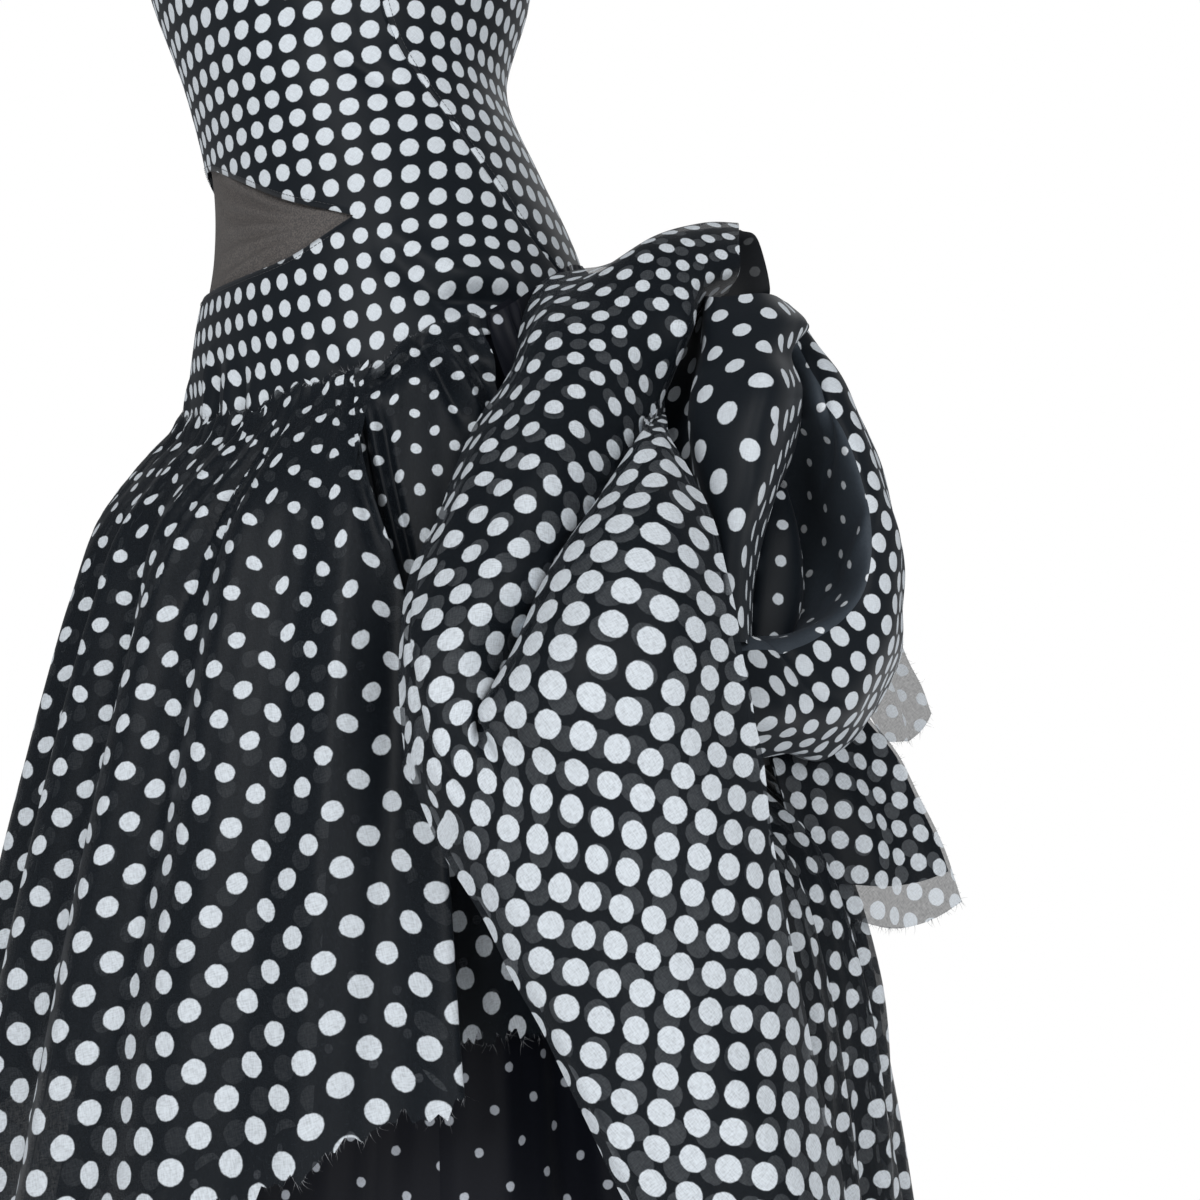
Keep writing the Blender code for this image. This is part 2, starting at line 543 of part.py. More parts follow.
def build_drape(print_material, sheer_material):
    """The hip drape, from the pieces nearest the skirt to the outermost."""
    turns = np.linspace(BASE_START, BASE_END, 25)
    start = edge_height(YOKE_FOOT, turns) + RAW_EDGE_STAND
    heights = start + (BASE_HEM - start) * np.linspace(0, 1, 7)[:, None]
    grid_piece("drape_base", on_figure(turns, heights, base_lift(turns, heights)), print_material)

    fall = fold_surface(sewn(FALL, FALL_SEAM, "far", FALL_STAND), 28, 8, level=True)
    hang = np.linspace(0.3, 1, 9)[:, None, None]
    fall = fall + hang * ripples(fall, FALL_PLEATS, FALL_PLEAT_DEPTH)
    grid_piece("drape_fall", fall, print_material)

    grid_piece("pouf_hollow", fold_surface(POUF_HOLLOW, 8, 9), print_material)
    rim = fold_surface(sewn(POUF_RIM, RIM_SEAM, "far", RIM_STAND), 14, 14)
    rim = rim + ripples(rim, RIM_FOLDS, RIM_FOLD_DEPTH, 1.0)
    grid_piece("pouf_rim", rim, print_material)
    mid_fold = sewn(MID_FOLD, MID_FOLD_SEAM, "near", MID_FOLD_STAND)
    grid_piece("drape_mid_fold", fold_surface(mid_fold, 10, 9), print_material)

    grid_piece("drape_roll", fold_surface(roll_sections(), 10, 20), print_material)

    flap = fold_surface(FLAP, 12, 16)
    hang = np.linspace(0, 1, 17)[:, None, None]
    flap = flap + ease(hang * 2 - 0.6) * ripples(flap, FLAP_FOLDS, FLAP_FOLD_DEPTH)
    grid_piece("drape_flap_outer", flap, print_material)
    share = np.linspace(0, 1, 13)[None, :, None]
    apart = SEAM_GAP + FLAP_LAYERS_APART * np.sin(np.pi * share) * ease(hang * 5)
    grid_piece("drape_flap_inner", flap - (CLOTH + apart) * outward_normals(flap), print_material)

    build_tails(rim, fall, sheer_material)


FLAP_FOLDS = 2
FLAP_FOLD_DEPTH = 0.005
FLAP_LAYERS_APART = 0.004
# Tails: the rows and columns of the carrier that a tail begins on, and how far
# its foot stands off it, goes back and fans out.
Tail = namedtuple("Tail", "top foot first last stand back fan wave")
TAIL_UPPER = Tail(8, 10.5, 4, 11, 0.010, 0.030, 0.010, 0.005)
TAIL_LOWER = Tail(1, 4, 11, 19, 0.014, 0.022, 0.022, 0.004)


def tail_points(carrier, tail):
    """A tail made from its carrier's points, moved out more and more downwards."""
    lie = carrier + (CLOTH + LAYER_GAP) * outward_normals(carrier)
    rows = np.linspace(tail.top, tail.foot, 7)
    lie = smooth(np.arange(len(lie)), lie, rows)[:, tail.first:tail.last + 1]
    share = (rows - rows[0])[:, None, None] / (tail.foot - tail.top)
    spread = np.linspace(-1, 1, lie.shape[1])[None, :, None]
    back = tail.back + tail.fan * spread + tail.wave * np.sin(3 * np.pi * spread)
    return lie + share * (tail.stand * outward_normals(lie) + back * np.array((0.0, 1.0, 0.0)))


def build_tails(rim, fall, material):
    """Two raw-edged tails; each starts on the outside of the piece that carries it."""
    grid_piece("tail_upper", tail_points(rim, TAIL_UPPER), material)
    grid_piece("tail_lower", tail_points(fall, TAIL_LOWER), material)


def main():
    """Build the whole dress."""
    clear_scene()
    dotted = make_material("dotted_organza", (0.10, 0.11, 0.13), 0.55)
    overskirt = make_material("sheer_dotted_organza", (0.08, 0.09, 0.11), 0.55)
    underskirt = make_material("dark_organza", (0.02, 0.024, 0.035), 0.60)
    net = make_material("sheer_net", (0.09, 0.085, 0.08), 0.65)
    tape = make_material("zip_tape_cloth", (0.02, 0.02, 0.025), 0.80)
    metal = make_material("zip_metal", (0.10, 0.10, 0.11), 0.35, 1.0)
    build_front_panel(dotted)
    build_sheer_inset(net)
    build_back_panel("back_panel_left", 1, dotted)
    build_back_panel("back_panel_right", -1, dotted)
    build_zip(tape, metal)
    build_skirts(underskirt, overskirt)
    build_drape(dotted, overskirt)


main()
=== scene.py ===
"""Flamenco dress of dotted silk organza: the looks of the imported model.

Every cloth piece is a thin shell worked out on the form of its solid, laid
flat by springs to get its cut, and printed with dots on that cut. Sheer
layers are really stacked, so the dots of the layer below show through.

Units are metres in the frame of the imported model: +Z is up, the wearer faces
-Y, the wearer's left is +X and the origin is the middle of the waist. A turn
is the angle in degrees about the figure: 0 at centre front, 90 at the left
side, 180 at centre back. The hip frame has its axes along the left hip: back,
out and height.
"""
from __future__ import annotations

import logging
from dataclasses import dataclass, field, replace
from enum import Enum
from typing import NamedTuple, Sequence

import bpy
import numpy as np
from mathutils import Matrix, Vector

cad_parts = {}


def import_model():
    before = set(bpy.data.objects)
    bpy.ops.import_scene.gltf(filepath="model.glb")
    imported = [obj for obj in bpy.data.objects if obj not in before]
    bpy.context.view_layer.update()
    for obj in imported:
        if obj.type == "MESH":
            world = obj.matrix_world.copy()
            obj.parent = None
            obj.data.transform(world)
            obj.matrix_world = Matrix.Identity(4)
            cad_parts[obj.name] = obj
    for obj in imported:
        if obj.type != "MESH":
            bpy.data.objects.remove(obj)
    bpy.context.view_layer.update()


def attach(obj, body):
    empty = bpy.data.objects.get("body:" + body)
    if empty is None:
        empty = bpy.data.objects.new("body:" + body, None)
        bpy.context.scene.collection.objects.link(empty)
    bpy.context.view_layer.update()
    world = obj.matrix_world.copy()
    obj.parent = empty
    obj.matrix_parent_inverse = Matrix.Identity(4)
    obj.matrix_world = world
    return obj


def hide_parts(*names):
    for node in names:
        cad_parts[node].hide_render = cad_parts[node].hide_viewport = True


LOG = logging.getLogger("dress")
Array = np.ndarray
Colour = tuple[float, float, float]
Place = tuple[float, float, float]
Piece = bpy.types.Object

CLOTH = 0.0014            # wall of the solids that the cloth lies on
SEAM_GAP = 0.0003
LAYER_GAP = 0.0010
BEHIND_GAP = 0.0018
INSET_GAP = 0.0021
TAPE_GAP = 0.0014
ZIP_GAP = 0.0006
SEAM_ALLOWANCE = 0.010
RAW_EDGE_STAND = 0.008
UNDERSKIRT_HEM = -0.90
CUTOUT_TIP_TURN = 74.0
CUTOUT_TIP_HEIGHT = -0.100
SIDE_SEAM_FOOT = 138.0
OVERSKIRT_START = 170.0
OVERSKIRT_END = 104.0
SPLIT_TURN = -85.0
CUP_TURN = 31.0
CUP_HEIGHT = 0.135
CUP_DEPTH = 0.012
HIP_TURN = np.radians(80.0)   # the hip frame's back axis, from +X towards +Y
MILLIMETRE = 0.001


class Hold(Enum):
    """How a sheet of cloth is held."""

    HUNG = "hung"
    GATHERED = "gathered"
    STRETCHED = "stretched"
    FOLDED = "folded"


class Side(Enum):
    """A side of the wearer."""

    LEFT = 1
    RIGHT = -1


# ---- tables
class Ring(NamedTuple):
    """A level ring of the figure."""

    height: float
    half_width: float
    front: float
    back: float


class Edge(NamedTuple):
    """A height of an edge that runs round the body."""

    turn: float
    height: float


class Flare(NamedTuple):
    """How far the skirts stand off the figure, by the drop below the yoke."""

    drop: float
    under: float
    over: float


FIGURE = (
    Ring(-0.260, 0.186, 0.101, 0.176), Ring(-0.200, 0.180, 0.097, 0.169),
    Ring(-0.150, 0.170, 0.091, 0.158), Ring(-0.100, 0.157, 0.083, 0.143),
    Ring(-0.050, 0.140, 0.084, 0.120), Ring(0.000, 0.128, 0.096, 0.099),
    Ring(0.065, 0.137, 0.119, 0.113), Ring(0.140, 0.150, 0.136, 0.122),
    Ring(0.215, 0.152, 0.130, 0.120),
)
TOP_EDGE = (Edge(0, 0.183), Edge(14, 0.194), Edge(34, 0.204), Edge(62, 0.192),
            Edge(95, 0.172), Edge(140, 0.160), Edge(180, 0.156))
YOKE_FOOT = (Edge(0, -0.200), Edge(22, -0.210), Edge(45, -0.212), Edge(62, -0.200),
             Edge(78, -0.190), Edge(92, -0.170), Edge(106, -0.162), Edge(122, -0.142),
             Edge(138, -0.124), Edge(180, -0.118))
CUTOUT_TOP = (Edge(0, -0.046), Edge(20, -0.056), Edge(37, -0.071), Edge(55, -0.088),
              Edge(74, CUTOUT_TIP_HEIGHT))
CUTOUT_FOOT = (Edge(0, -0.124), Edge(20, -0.127), Edge(40, -0.126), Edge(55, -0.120),
               Edge(74, CUTOUT_TIP_HEIGHT))
OVERSKIRT_HEM = (Edge(-190, -0.600), Edge(-85, -0.640), Edge(0, -0.622), Edge(60, -0.584),
                 Edge(67, -0.563), Edge(72, -0.546), Edge(80, -0.538), Edge(104, -0.514))
# Edges that run down the body: their turn at each height.
SIDE_SEAM = (Edge(SIDE_SEAM_FOOT + 6, -0.200), Edge(SIDE_SEAM_FOOT, -0.124), Edge(129, -0.108),
             Edge(118, -0.066), Edge(110, -0.027), Edge(100, 0.021), Edge(94, 0.110),
             Edge(92, 0.215))
OVERSKIRT_FOLD = (Edge(92, -0.640), Edge(91, -0.530), Edge(85, -0.300), Edge(74, -0.190))
FLARE = (Flare(-0.02, 0.000, 0.000), Flare(0.00, 0.000, 0.001), Flare(0.02, 0.002, 0.017),
         Flare(0.05, 0.006, 0.038), Flare(0.10, 0.014, 0.054), Flare(0.20, 0.030, 0.080),
         Flare(0.30, 0.047, 0.103), Flare(0.40, 0.064, 0.124), Flare(0.80, 0.135, 0.200))


# ---- curves and forms
def column(table: Sequence[NamedTuple], name: str) -> Array:
    """Return one named column of a table as an array."""
    return np.array([getattr(row, name) for row in table], dtype=float)


def smooth(xs: Array, ys: Array, at: Array) -> Array:
    """Read a smooth curve at the places given.

    Between two points it is a cubic whose slopes are the means of its
    neighbours' slopes.

    Args:
        xs: Places of the points, rising or falling.
        ys: Values of the points; each may be an array.
        at: Where the curve is read, held inside the range of xs.

    Returns:
        The values, the shape of at followed by the shape of one value.
    """
    xs, ys = np.asarray(xs, dtype=float), np.asarray(ys, dtype=float)
    if xs[0] > xs[-1]:
        xs, ys = xs[::-1], ys[::-1]
    slopes = np.gradient(ys, xs, axis=0)
    at = np.clip(np.asarray(at, dtype=float), xs[0], xs[-1])
    cell = np.clip(np.searchsorted(xs, at, side="right") - 1, 0, len(xs) - 2)
    width = xs[cell + 1] - xs[cell]
    t = (at - xs[cell]) / width
    t = t.reshape(t.shape + (1,) * (ys.ndim - 1))
    width = width.reshape(t.shape)
    return ((1 + 2 * t) * (1 - t) ** 2 * ys[cell] + t * (1 - t) ** 2 * width * slopes[cell]
            + t * t * (3 - 2 * t) * ys[cell + 1] + t * t * (t - 1) * width * slopes[cell + 1])


def read(table: Sequence[NamedTuple], along: str, value: str, at: Array) -> Array:
    """Read one column of a table as a smooth curve along another."""
    return smooth(column(table, along), column(table, value), at)


def ease(value: Array) -> Array:
    """Rise smoothly from 0 to 1 as the value goes from 0 to 1."""
    t = np.clip(value, 0, 1)
    return t * t * (3 - 2 * t)


def unit(vectors: Array) -> Array:
    """Vectors of length 1 in the same directions."""
    return vectors / np.maximum(np.linalg.norm(vectors, axis=-1, keepdims=True), 1e-12)


def edge_height(edge: Sequence[Edge], turn: Array) -> Array:
    """Height of a body edge at a turn, the same on the left and the right."""
    around = np.abs((np.asarray(turn, dtype=float) + 180) % 360 - 180)
    return read(edge, "turn", "height", around)


def cup(turn: Array, height: Array) -> Array:
    """How far the bust cups stand off the figure: a round bell about each cup's middle."""
    around = np.abs((np.asarray(turn, dtype=float) + 180) % 360 - 180)
    return CUP_DEPTH * np.exp(-((around - CUP_TURN) / 21) ** 2 - ((height - CUP_HEIGHT) / 0.045) ** 2)


def on_figure(turn: Array, height: Array, lift: Array = 0.0) -> Array:
    """Points on the figure's rings, which are ellipses, moved out at right angles by lift."""
    turn, height, lift = np.broadcast_arrays(*np.atleast_1d(turn, height, lift))
    half_width = read(FIGURE, "height", "half_width", height)
    front = read(FIGURE, "height", "front", height)
    back = read(FIGURE, "height", "back", height)
    depth, middle = (front + back) / 2, (back - front) / 2
    angle = np.radians(turn)
    out_x, out_y = np.sin(angle) / half_width, -np.cos(angle) / depth
    length = np.hypot(out_x, out_y)
    lift = lift + cup(turn, height)
    return np.stack((half_width * np.sin(angle) + lift * out_x / length,
                     middle - depth * np.cos(angle) + lift * out_y / length,
                     height + 0.0 * angle), axis=-1)


def out_of_figure(turn: Array, height: Array) -> Array:
    """Unit directions out of the figure."""
    return unit(on_figure(turn, height, 0.01) - on_figure(turn, height))


def from_hip(places: Array | Sequence[NamedTuple]) -> Array:
    """World points of hip-frame places, given in millimetres as back, out and height."""
    places = np.asarray(places, dtype=float) * MILLIMETRE
    back, out, height = places[..., 0], places[..., 1], places[..., 2]
    return np.stack((back * np.cos(HIP_TURN) + out * np.sin(HIP_TURN),
                     back * np.sin(HIP_TURN) - out * np.cos(HIP_TURN), height), axis=-1)


def normals(points: Array) -> Array:
    """Unit normals of a grid that runs down and round, pointing out."""
    return unit(np.cross(np.gradient(points, axis=0), np.gradient(points, axis=1)))


def chord_places(net: Array) -> Array:
    """Place of each row of a net from 0 to 1, by the mean distance between rows."""
    steps = np.linalg.norm(np.diff(net, axis=0), axis=2).mean(axis=1)
    return np.concatenate(((0.0,), np.cumsum(steps))) / steps.sum()


def spread(net: Array, rows: int, columns: int) -> Array:
    """A smooth surface through a net of points: smooth curves down, then across."""
    down = smooth(chord_places(net), net, np.linspace(0, 1, rows + 1)).swapaxes(0, 1)
    return smooth(chord_places(net.swapaxes(0, 1)), down, np.linspace(0, 1, columns + 1)).swapaxes(0, 1)


def hip_surface(sections: Sequence[NamedTuple], rows: int, columns: int) -> Array:
    """A smooth surface through sections given in the hip frame."""
    return spread(from_hip(sections), rows, columns)


def shares(rows: int, columns: int) -> tuple[Array, Array]:
    """Down and across shares of a grid, each from 0 to 1, ready to broadcast."""
    return np.linspace(0, 1, rows)[:, None], np.linspace(0, 1, columns)[None, :]


@dataclass(frozen=True)
class Crease:
    """A soft ridge or trough in a sheet, along a bowed line.

    Attributes:
        start: Where it begins on the sheet's map, across and down, in metres.
        end: Where it ends.
        width: Half its width, in metres.
        rise: Its height in metres, below 0 for a trough.
        bow: How far its middle lies off the straight line, in metres.
    """

    start: tuple[float, float]
    end: tuple[float, float]
    width: float
    rise: float
    bow: float = 0.0


def sheet_map(points: Array) -> tuple[Array, Array]:
    """Map of a sheet in metres: mean lengths across from the left and down from the top."""
    wide = np.linalg.norm(np.diff(points, axis=1), axis=2).sum(axis=1).mean()
    long = np.linalg.norm(np.diff(points, axis=0), axis=2).sum(axis=0).mean()
    down, across = shares(*points.shape[:2])
    return across * wide + 0 * down, down * long + 0 * across


def crease_rise(x: Array, y: Array, creases: Sequence[Crease]) -> Array:
    """Sum of the creases at map places.

    Each is a bell curve of the distance from its line, times a half sine
    along it to a low power, so that it fades at both ends.
    """
    offset = np.zeros(np.broadcast_shapes(np.shape(x), np.shape(y)))
    for crease in creases:
        (x0, y0), (x1, y1) = crease.start, crease.end
        length = np.hypot(x1 - x0, y1 - y0)
        along = ((x - x0) * (x1 - x0) + (y - y0) * (y1 - y0)) / length ** 2
        aside = ((x - x0) * (y1 - y0) - (y - y0) * (x1 - x0)) / length
        half_wave = np.sin(np.pi * np.clip(along, 0, 1))
        aside = aside - crease.bow * half_wave
        offset += crease.rise * half_wave ** 0.7 * np.exp(-(aside / crease.width) ** 2)
    return offset


def creased(points: Array, creases: Sequence[Crease]) -> Array:
    """Press creases into a sheet along its normals, placed on its own map."""
    x, y = sheet_map(points)
    return points + crease_rise(x, y, creases)[..., None] * normals(points)


def rumple(points: Array, rise: float, size: float, seed: int) -> Array:
    """Uneven soft swells all over a sheet: a sum of plane waves of random bearing."""
    draw = np.random.default_rng(seed)
    offset = np.zeros(points.shape[:2])
    for _ in range(9):
        bearing = unit(draw.normal(size=3) * np.array((1.0, 1.0, 0.45)))
        length = size * draw.uniform(0.7, 1.6)
        offset += np.sin(2 * np.pi * (points @ bearing) / length + draw.uniform(0, 6.28))
    return points + (rise / 3 * offset)[..., None] * normals(points)


def springs(points: Array, rows: Array, columns: Array) -> list[tuple[int, int, Array]]:
    """Draped lengths of a coarse net's springs, as row step, column step and lengths.

    A spring along a row or a column follows the fine grid between its ends.
    A diagonal's chord is lengthened as its row and column are.
    """
    along_rows = np.linalg.norm(np.diff(points, axis=1), axis=2)
    along_columns = np.linalg.norm(np.diff(points, axis=0), axis=2)
    run = np.pad(np.cumsum(along_rows, axis=1), ((0, 0), (1, 0)))
    fall = np.pad(np.cumsum(along_columns, axis=0), ((1, 0), (0, 0)))
    across = np.diff(run[np.ix_(rows, columns)], axis=1)
    down = np.diff(fall[np.ix_(rows, columns)], axis=0)
    net = points[np.ix_(rows, columns)]
    flat_across = np.linalg.norm(np.diff(net, axis=1), axis=2)
    flat_down = np.linalg.norm(np.diff(net, axis=0), axis=2)
    longer = np.sqrt((across[:-1] ** 2 + down[:, :-1] ** 2)
                     / (flat_across[:-1] ** 2 + flat_down[:, :-1] ** 2 + 1e-12))
    falling = np.linalg.norm(net[1:, 1:] - net[:-1, :-1], axis=2) * longer
    rising = np.linalg.norm(net[1:, :-1] - net[:-1, 1:], axis=2) * longer
    return [(0, 1, across), (1, 0, down), (1, 1, falling), (1, -1, rising)]


def ends(flat: Array, row_step: int, column_step: int) -> tuple[Array, Array]:
    """Views of the two ends of every spring of one kind."""
    tall, wide = flat.shape[:2]
    if column_step < 0:
        return flat[:tall - 1, 1:], flat[1:, :wide - 1]
    return flat[:tall - row_step, :wide - column_step], flat[row_step:, column_step:]


def lay_flat(points: Array, anchor: float = 0.5) -> Array:
    """Lay a draped grid flat and return its flat coordinates.

    The cut starts as arc lengths along the rows from the anchor column. Then
    springs along rows, columns and diagonals pull it until they have their
    draped lengths, first on a coarse net and then on finer ones. At the end
    the anchor column stands upright with its middle at the origin.

    Args:
        points: The draped grid, rows running down.
        anchor: Share across the sheet of the column that stays upright.

    Returns:
        Flat coordinates in metres, to the right and up, one pair a point.
    """
    tall, wide = points.shape[:2]
    flat = None
    for size in (9, 17, 33):
        rows = np.unique(np.linspace(0, tall - 1, min(size, tall)).round().astype(int))
        columns = np.unique(np.linspace(0, wide - 1, min(size, wide)).round().astype(int))
        pulls = springs(points, rows, columns)
        if flat is None:
            middle = round(anchor * (len(columns) - 1))
            run = np.pad(np.cumsum(pulls[0][2], axis=1), ((0, 0), (1, 0)))
            fall = np.pad(np.cumsum(pulls[1][2][:, middle]), (1, 0))
            flat = np.stack((run - run[:, middle:middle + 1], -fall[:, None] + 0 * run), axis=-1)
        else:
            flat = smooth(old_rows, flat, rows).swapaxes(0, 1)
            flat = smooth(old_columns, flat, columns).swapaxes(0, 1)
        for _ in range(240):
            pull = np.zeros_like(flat)
            count = np.full(flat.shape[:2] + (1,), 1e-6)
            for row_step, column_step, lengths in pulls:
                first, second = ends(flat, row_step, column_step)
                line = second - first
                now = np.linalg.norm(line, axis=2) + 1e-9
                change = (0.5 * (now - lengths) / now)[..., None] * line
                for target, share in ((pull, change), (count, 1.0)):
                    near, far = ends(target, row_step, column_step)
                    near += share
                    far += -share if target is pull else share
            flat = flat + 1.3 * pull / count
        old_rows, old_columns = rows, columns
    flat = smooth(old_rows, flat, np.arange(tall)).swapaxes(0, 1)
    flat = smooth(old_columns, flat, np.arange(wide)).swapaxes(0, 1)
    middle = round(anchor * (wide - 1))
    upright = unit(flat[0, middle] - flat[-1, middle])
    turned = np.stack((flat @ np.array((upright[1], -upright[0])), flat @ upright), axis=-1)
    return turned - turned[tall // 2, middle]


# ---- shader groups
Socket = bpy.types.NodeSocket


class Wiring:
    """Adds nodes to a tree and joins them."""

    def __init__(self, tree: bpy.types.NodeTree) -> None:
        """Keep the tree that the nodes go into."""
        self.tree = tree

    def add(self, kind: str, **settings: object) -> bpy.types.Node:
        """Add a node and set the properties named."""
        node = self.tree.nodes.new(kind)
        for name, value in settings.items():
            setattr(node, name, value)
        return node

    def feed(self, socket: Socket, value: object) -> None:
        """Put a socket's link or a plain value into an input."""
        if isinstance(value, Socket):
            self.tree.links.new(value, socket)
        else:
            socket.default_value = value

    def fill(self, node: bpy.types.Node, **values: object) -> None:
        """Feed inputs by name, with _ for a space."""
        for name, value in values.items():
            self.feed(node.inputs[name.replace("_", " ")], value)

    def bump(self, height: Socket, strength: float) -> Socket:
        """Normal of a bump 0.2 mm high."""
        node = self.add("ShaderNodeBump")
        self.fill(node, Strength=strength, Distance=0.0002, Height=height)
        return node.outputs[0]

    def group(self, tree: bpy.types.NodeTree, **values: object) -> bpy.types.NodeOutputs:
        """Outputs of a node group fed by name."""
        node = self.add("ShaderNodeGroup", node_tree=tree)
        self.fill(node, **values)
        return node.outputs

    def math(self, operation: str, *values: object, kind: str = "ShaderNodeMath") -> Socket:
        """Output of a Math or Vector Math node fed with the values."""
        node = self.add(kind, operation=operation)
        for socket, value in zip(node.inputs, values):
            self.feed(socket, value)
        return node.outputs[0]

    def noise(self, vector: Socket, scale: float, detail: float) -> Socket:
        """Value of a noise texture, from 0 to 1."""
        node = self.add("ShaderNodeTexNoise")
        self.fill(node, Vector=vector, Scale=scale, Detail=detail)
        return node.outputs["Fac"]

    def reach(self, value: object, low: object, high: object, to_low: object = 0.0,
              to_high: object = 1.0, smooth_ends: bool = True) -> Socket:
        """Map a value from one range to another, held inside it."""
        node = self.add("ShaderNodeMapRange")
        if smooth_ends:
            node.interpolation_type = "SMOOTHSTEP"
        self.fill(node, Value=value, From_Min=low, From_Max=high, To_Min=to_low, To_Max=to_high)
        return node.outputs[0]

    def blend(self, share: object, first: object, second: object) -> Socket:
        """Colour between two colours."""
        node = self.add("ShaderNodeMix", data_type="RGBA")
        self.feed(node.inputs["Factor"], share)
        for name, value in (("A", first), ("B", second)):
            socket = next(s for s in node.inputs if s.name == name and s.type == "RGBA")
            self.feed(socket, value if isinstance(value, Socket) else (*value, 1.0))
        return next(s for s in node.outputs if s.type == "RGBA")


def new_material(name: str) -> tuple[bpy.types.Material, Wiring, bpy.types.Node]:
    """A new material with its wiring and its shader."""
    material = bpy.data.materials.new(name)
    material.use_nodes = True
    return material, Wiring(material.node_tree), material.node_tree.nodes["Principled BSDF"]


def new_group(name: str, inputs: dict[str, str], outputs: dict[str, str]) -> bpy.types.NodeTree:
    """A node group with its sockets, each given as its name and its kind."""
    group = bpy.data.node_groups.new(name, "ShaderNodeTree")
    for label, kind in inputs.items():
        group.interface.new_socket(label, in_out="INPUT", socket_type=f"NodeSocket{kind}")
    for label, kind in outputs.items():
        group.interface.new_socket(label, in_out="OUTPUT", socket_type=f"NodeSocket{kind}")
    return group


def dot_group() -> bpy.types.NodeTree:
    """Group that prints dots on a lattice of rows.

    The row is the height over the row spacing, rounded. Each row is shifted
    by the lean times its number, and the dot along it is rounded likewise.
    The mask falls softly from 1 to 0 at the dot's radius, which wavers a
    little, as screen-printed ink does.
    """
    group = new_group("printed dots", {"Vector": "Vector", "Pitch": "Float", "Lean": "Float",
                                       "Row": "Float", "Diameter": "Float"}, {"Mask": "Float"})
    wiring = Wiring(group)
    given = wiring.add("NodeGroupInput").outputs
    split = wiring.add("ShaderNodeSeparateXYZ")
    wiring.feed(split.inputs[0], given["Vector"])
    row = wiring.math("ROUND", wiring.math("DIVIDE", split.outputs["Y"], given["Row"]))
    up = wiring.math("SUBTRACT", split.outputs["Y"], wiring.math("MULTIPLY", row, given["Row"]))
    along = wiring.math("SUBTRACT", split.outputs["X"], wiring.math("MULTIPLY", row, given["Lean"]))
    number = wiring.math("ROUND", wiring.math("DIVIDE", along, given["Pitch"]))
    aside = wiring.math("SUBTRACT", along, wiring.math("MULTIPLY", number, given["Pitch"]))
    distance = wiring.math("SQRT", wiring.math("ADD", wiring.math("MULTIPLY", up, up),
                                               wiring.math("MULTIPLY", aside, aside)))
    waver = wiring.math("MULTIPLY_ADD", wiring.noise(given["Vector"], 420.0, 2.0), 0.0009, -0.00045)
    radius = wiring.math("MULTIPLY_ADD", given["Diameter"], 0.5, waver)
    mask = wiring.reach(wiring.math("SUBTRACT", distance, radius), 0.00035, -0.00035)
    wiring.fill(wiring.add("NodeGroupOutput"), Mask=mask)
    return group


def thread_group() -> bpy.types.NodeTree:
    """Group for the fine uneven threads of organza.

    Warp and weft are two noises, each drawn out long along its threads. Tone
    is their mean about 1, and Height is the higher of the two.
    """
    group = new_group("organza threads", {"Vector": "Vector", "Strength": "Float"},
                      {"Tone": "Float", "Height": "Float"})
    wiring = Wiring(group)
    given = wiring.add("NodeGroupInput").outputs
    threads = [wiring.noise(wiring.math("MULTIPLY", given["Vector"], stretch, kind="ShaderNodeVectorMath"),
                            1.0, 3.0) for stretch in ((1500.0, 330.0, 1.0), (300.0, 1400.0, 1.0))]
    mean = wiring.math("MULTIPLY", wiring.math("ADD", *threads), 0.5)
    tone = wiring.math("MULTIPLY_ADD", wiring.math("SUBTRACT", mean, 0.5), given["Strength"], 1.0)
    wiring.fill(wiring.add("NodeGroupOutput"), Tone=tone, Height=wiring.math("MAXIMUM", *threads))
    return group


# ---- finishes
@dataclass(frozen=True)
class Lattice:
    """Where dots are printed: pitch along a row, shift from row to row, row spacing."""

    pitch: float
    lean: float
    row: float


THREAD_BIAS = 38.0        # turn of the threads against the rows of dots, in degrees
SQUARE_SMALL = Lattice(0.0142, 0.0, 0.0142)
SQUARE_LARGE = Lattice(0.0161, 0.0, 0.0161)
SQUARE_TAIL = Lattice(0.0135, 0.0, 0.0165)
SQUARE_OVER = Lattice(0.0176, 0.0, 0.0176)
STAGGERED_UNDER = Lattice(0.0240, 0.0120, 0.0185)
WIDE = Lattice(0.0200, 0.0, 0.0200)


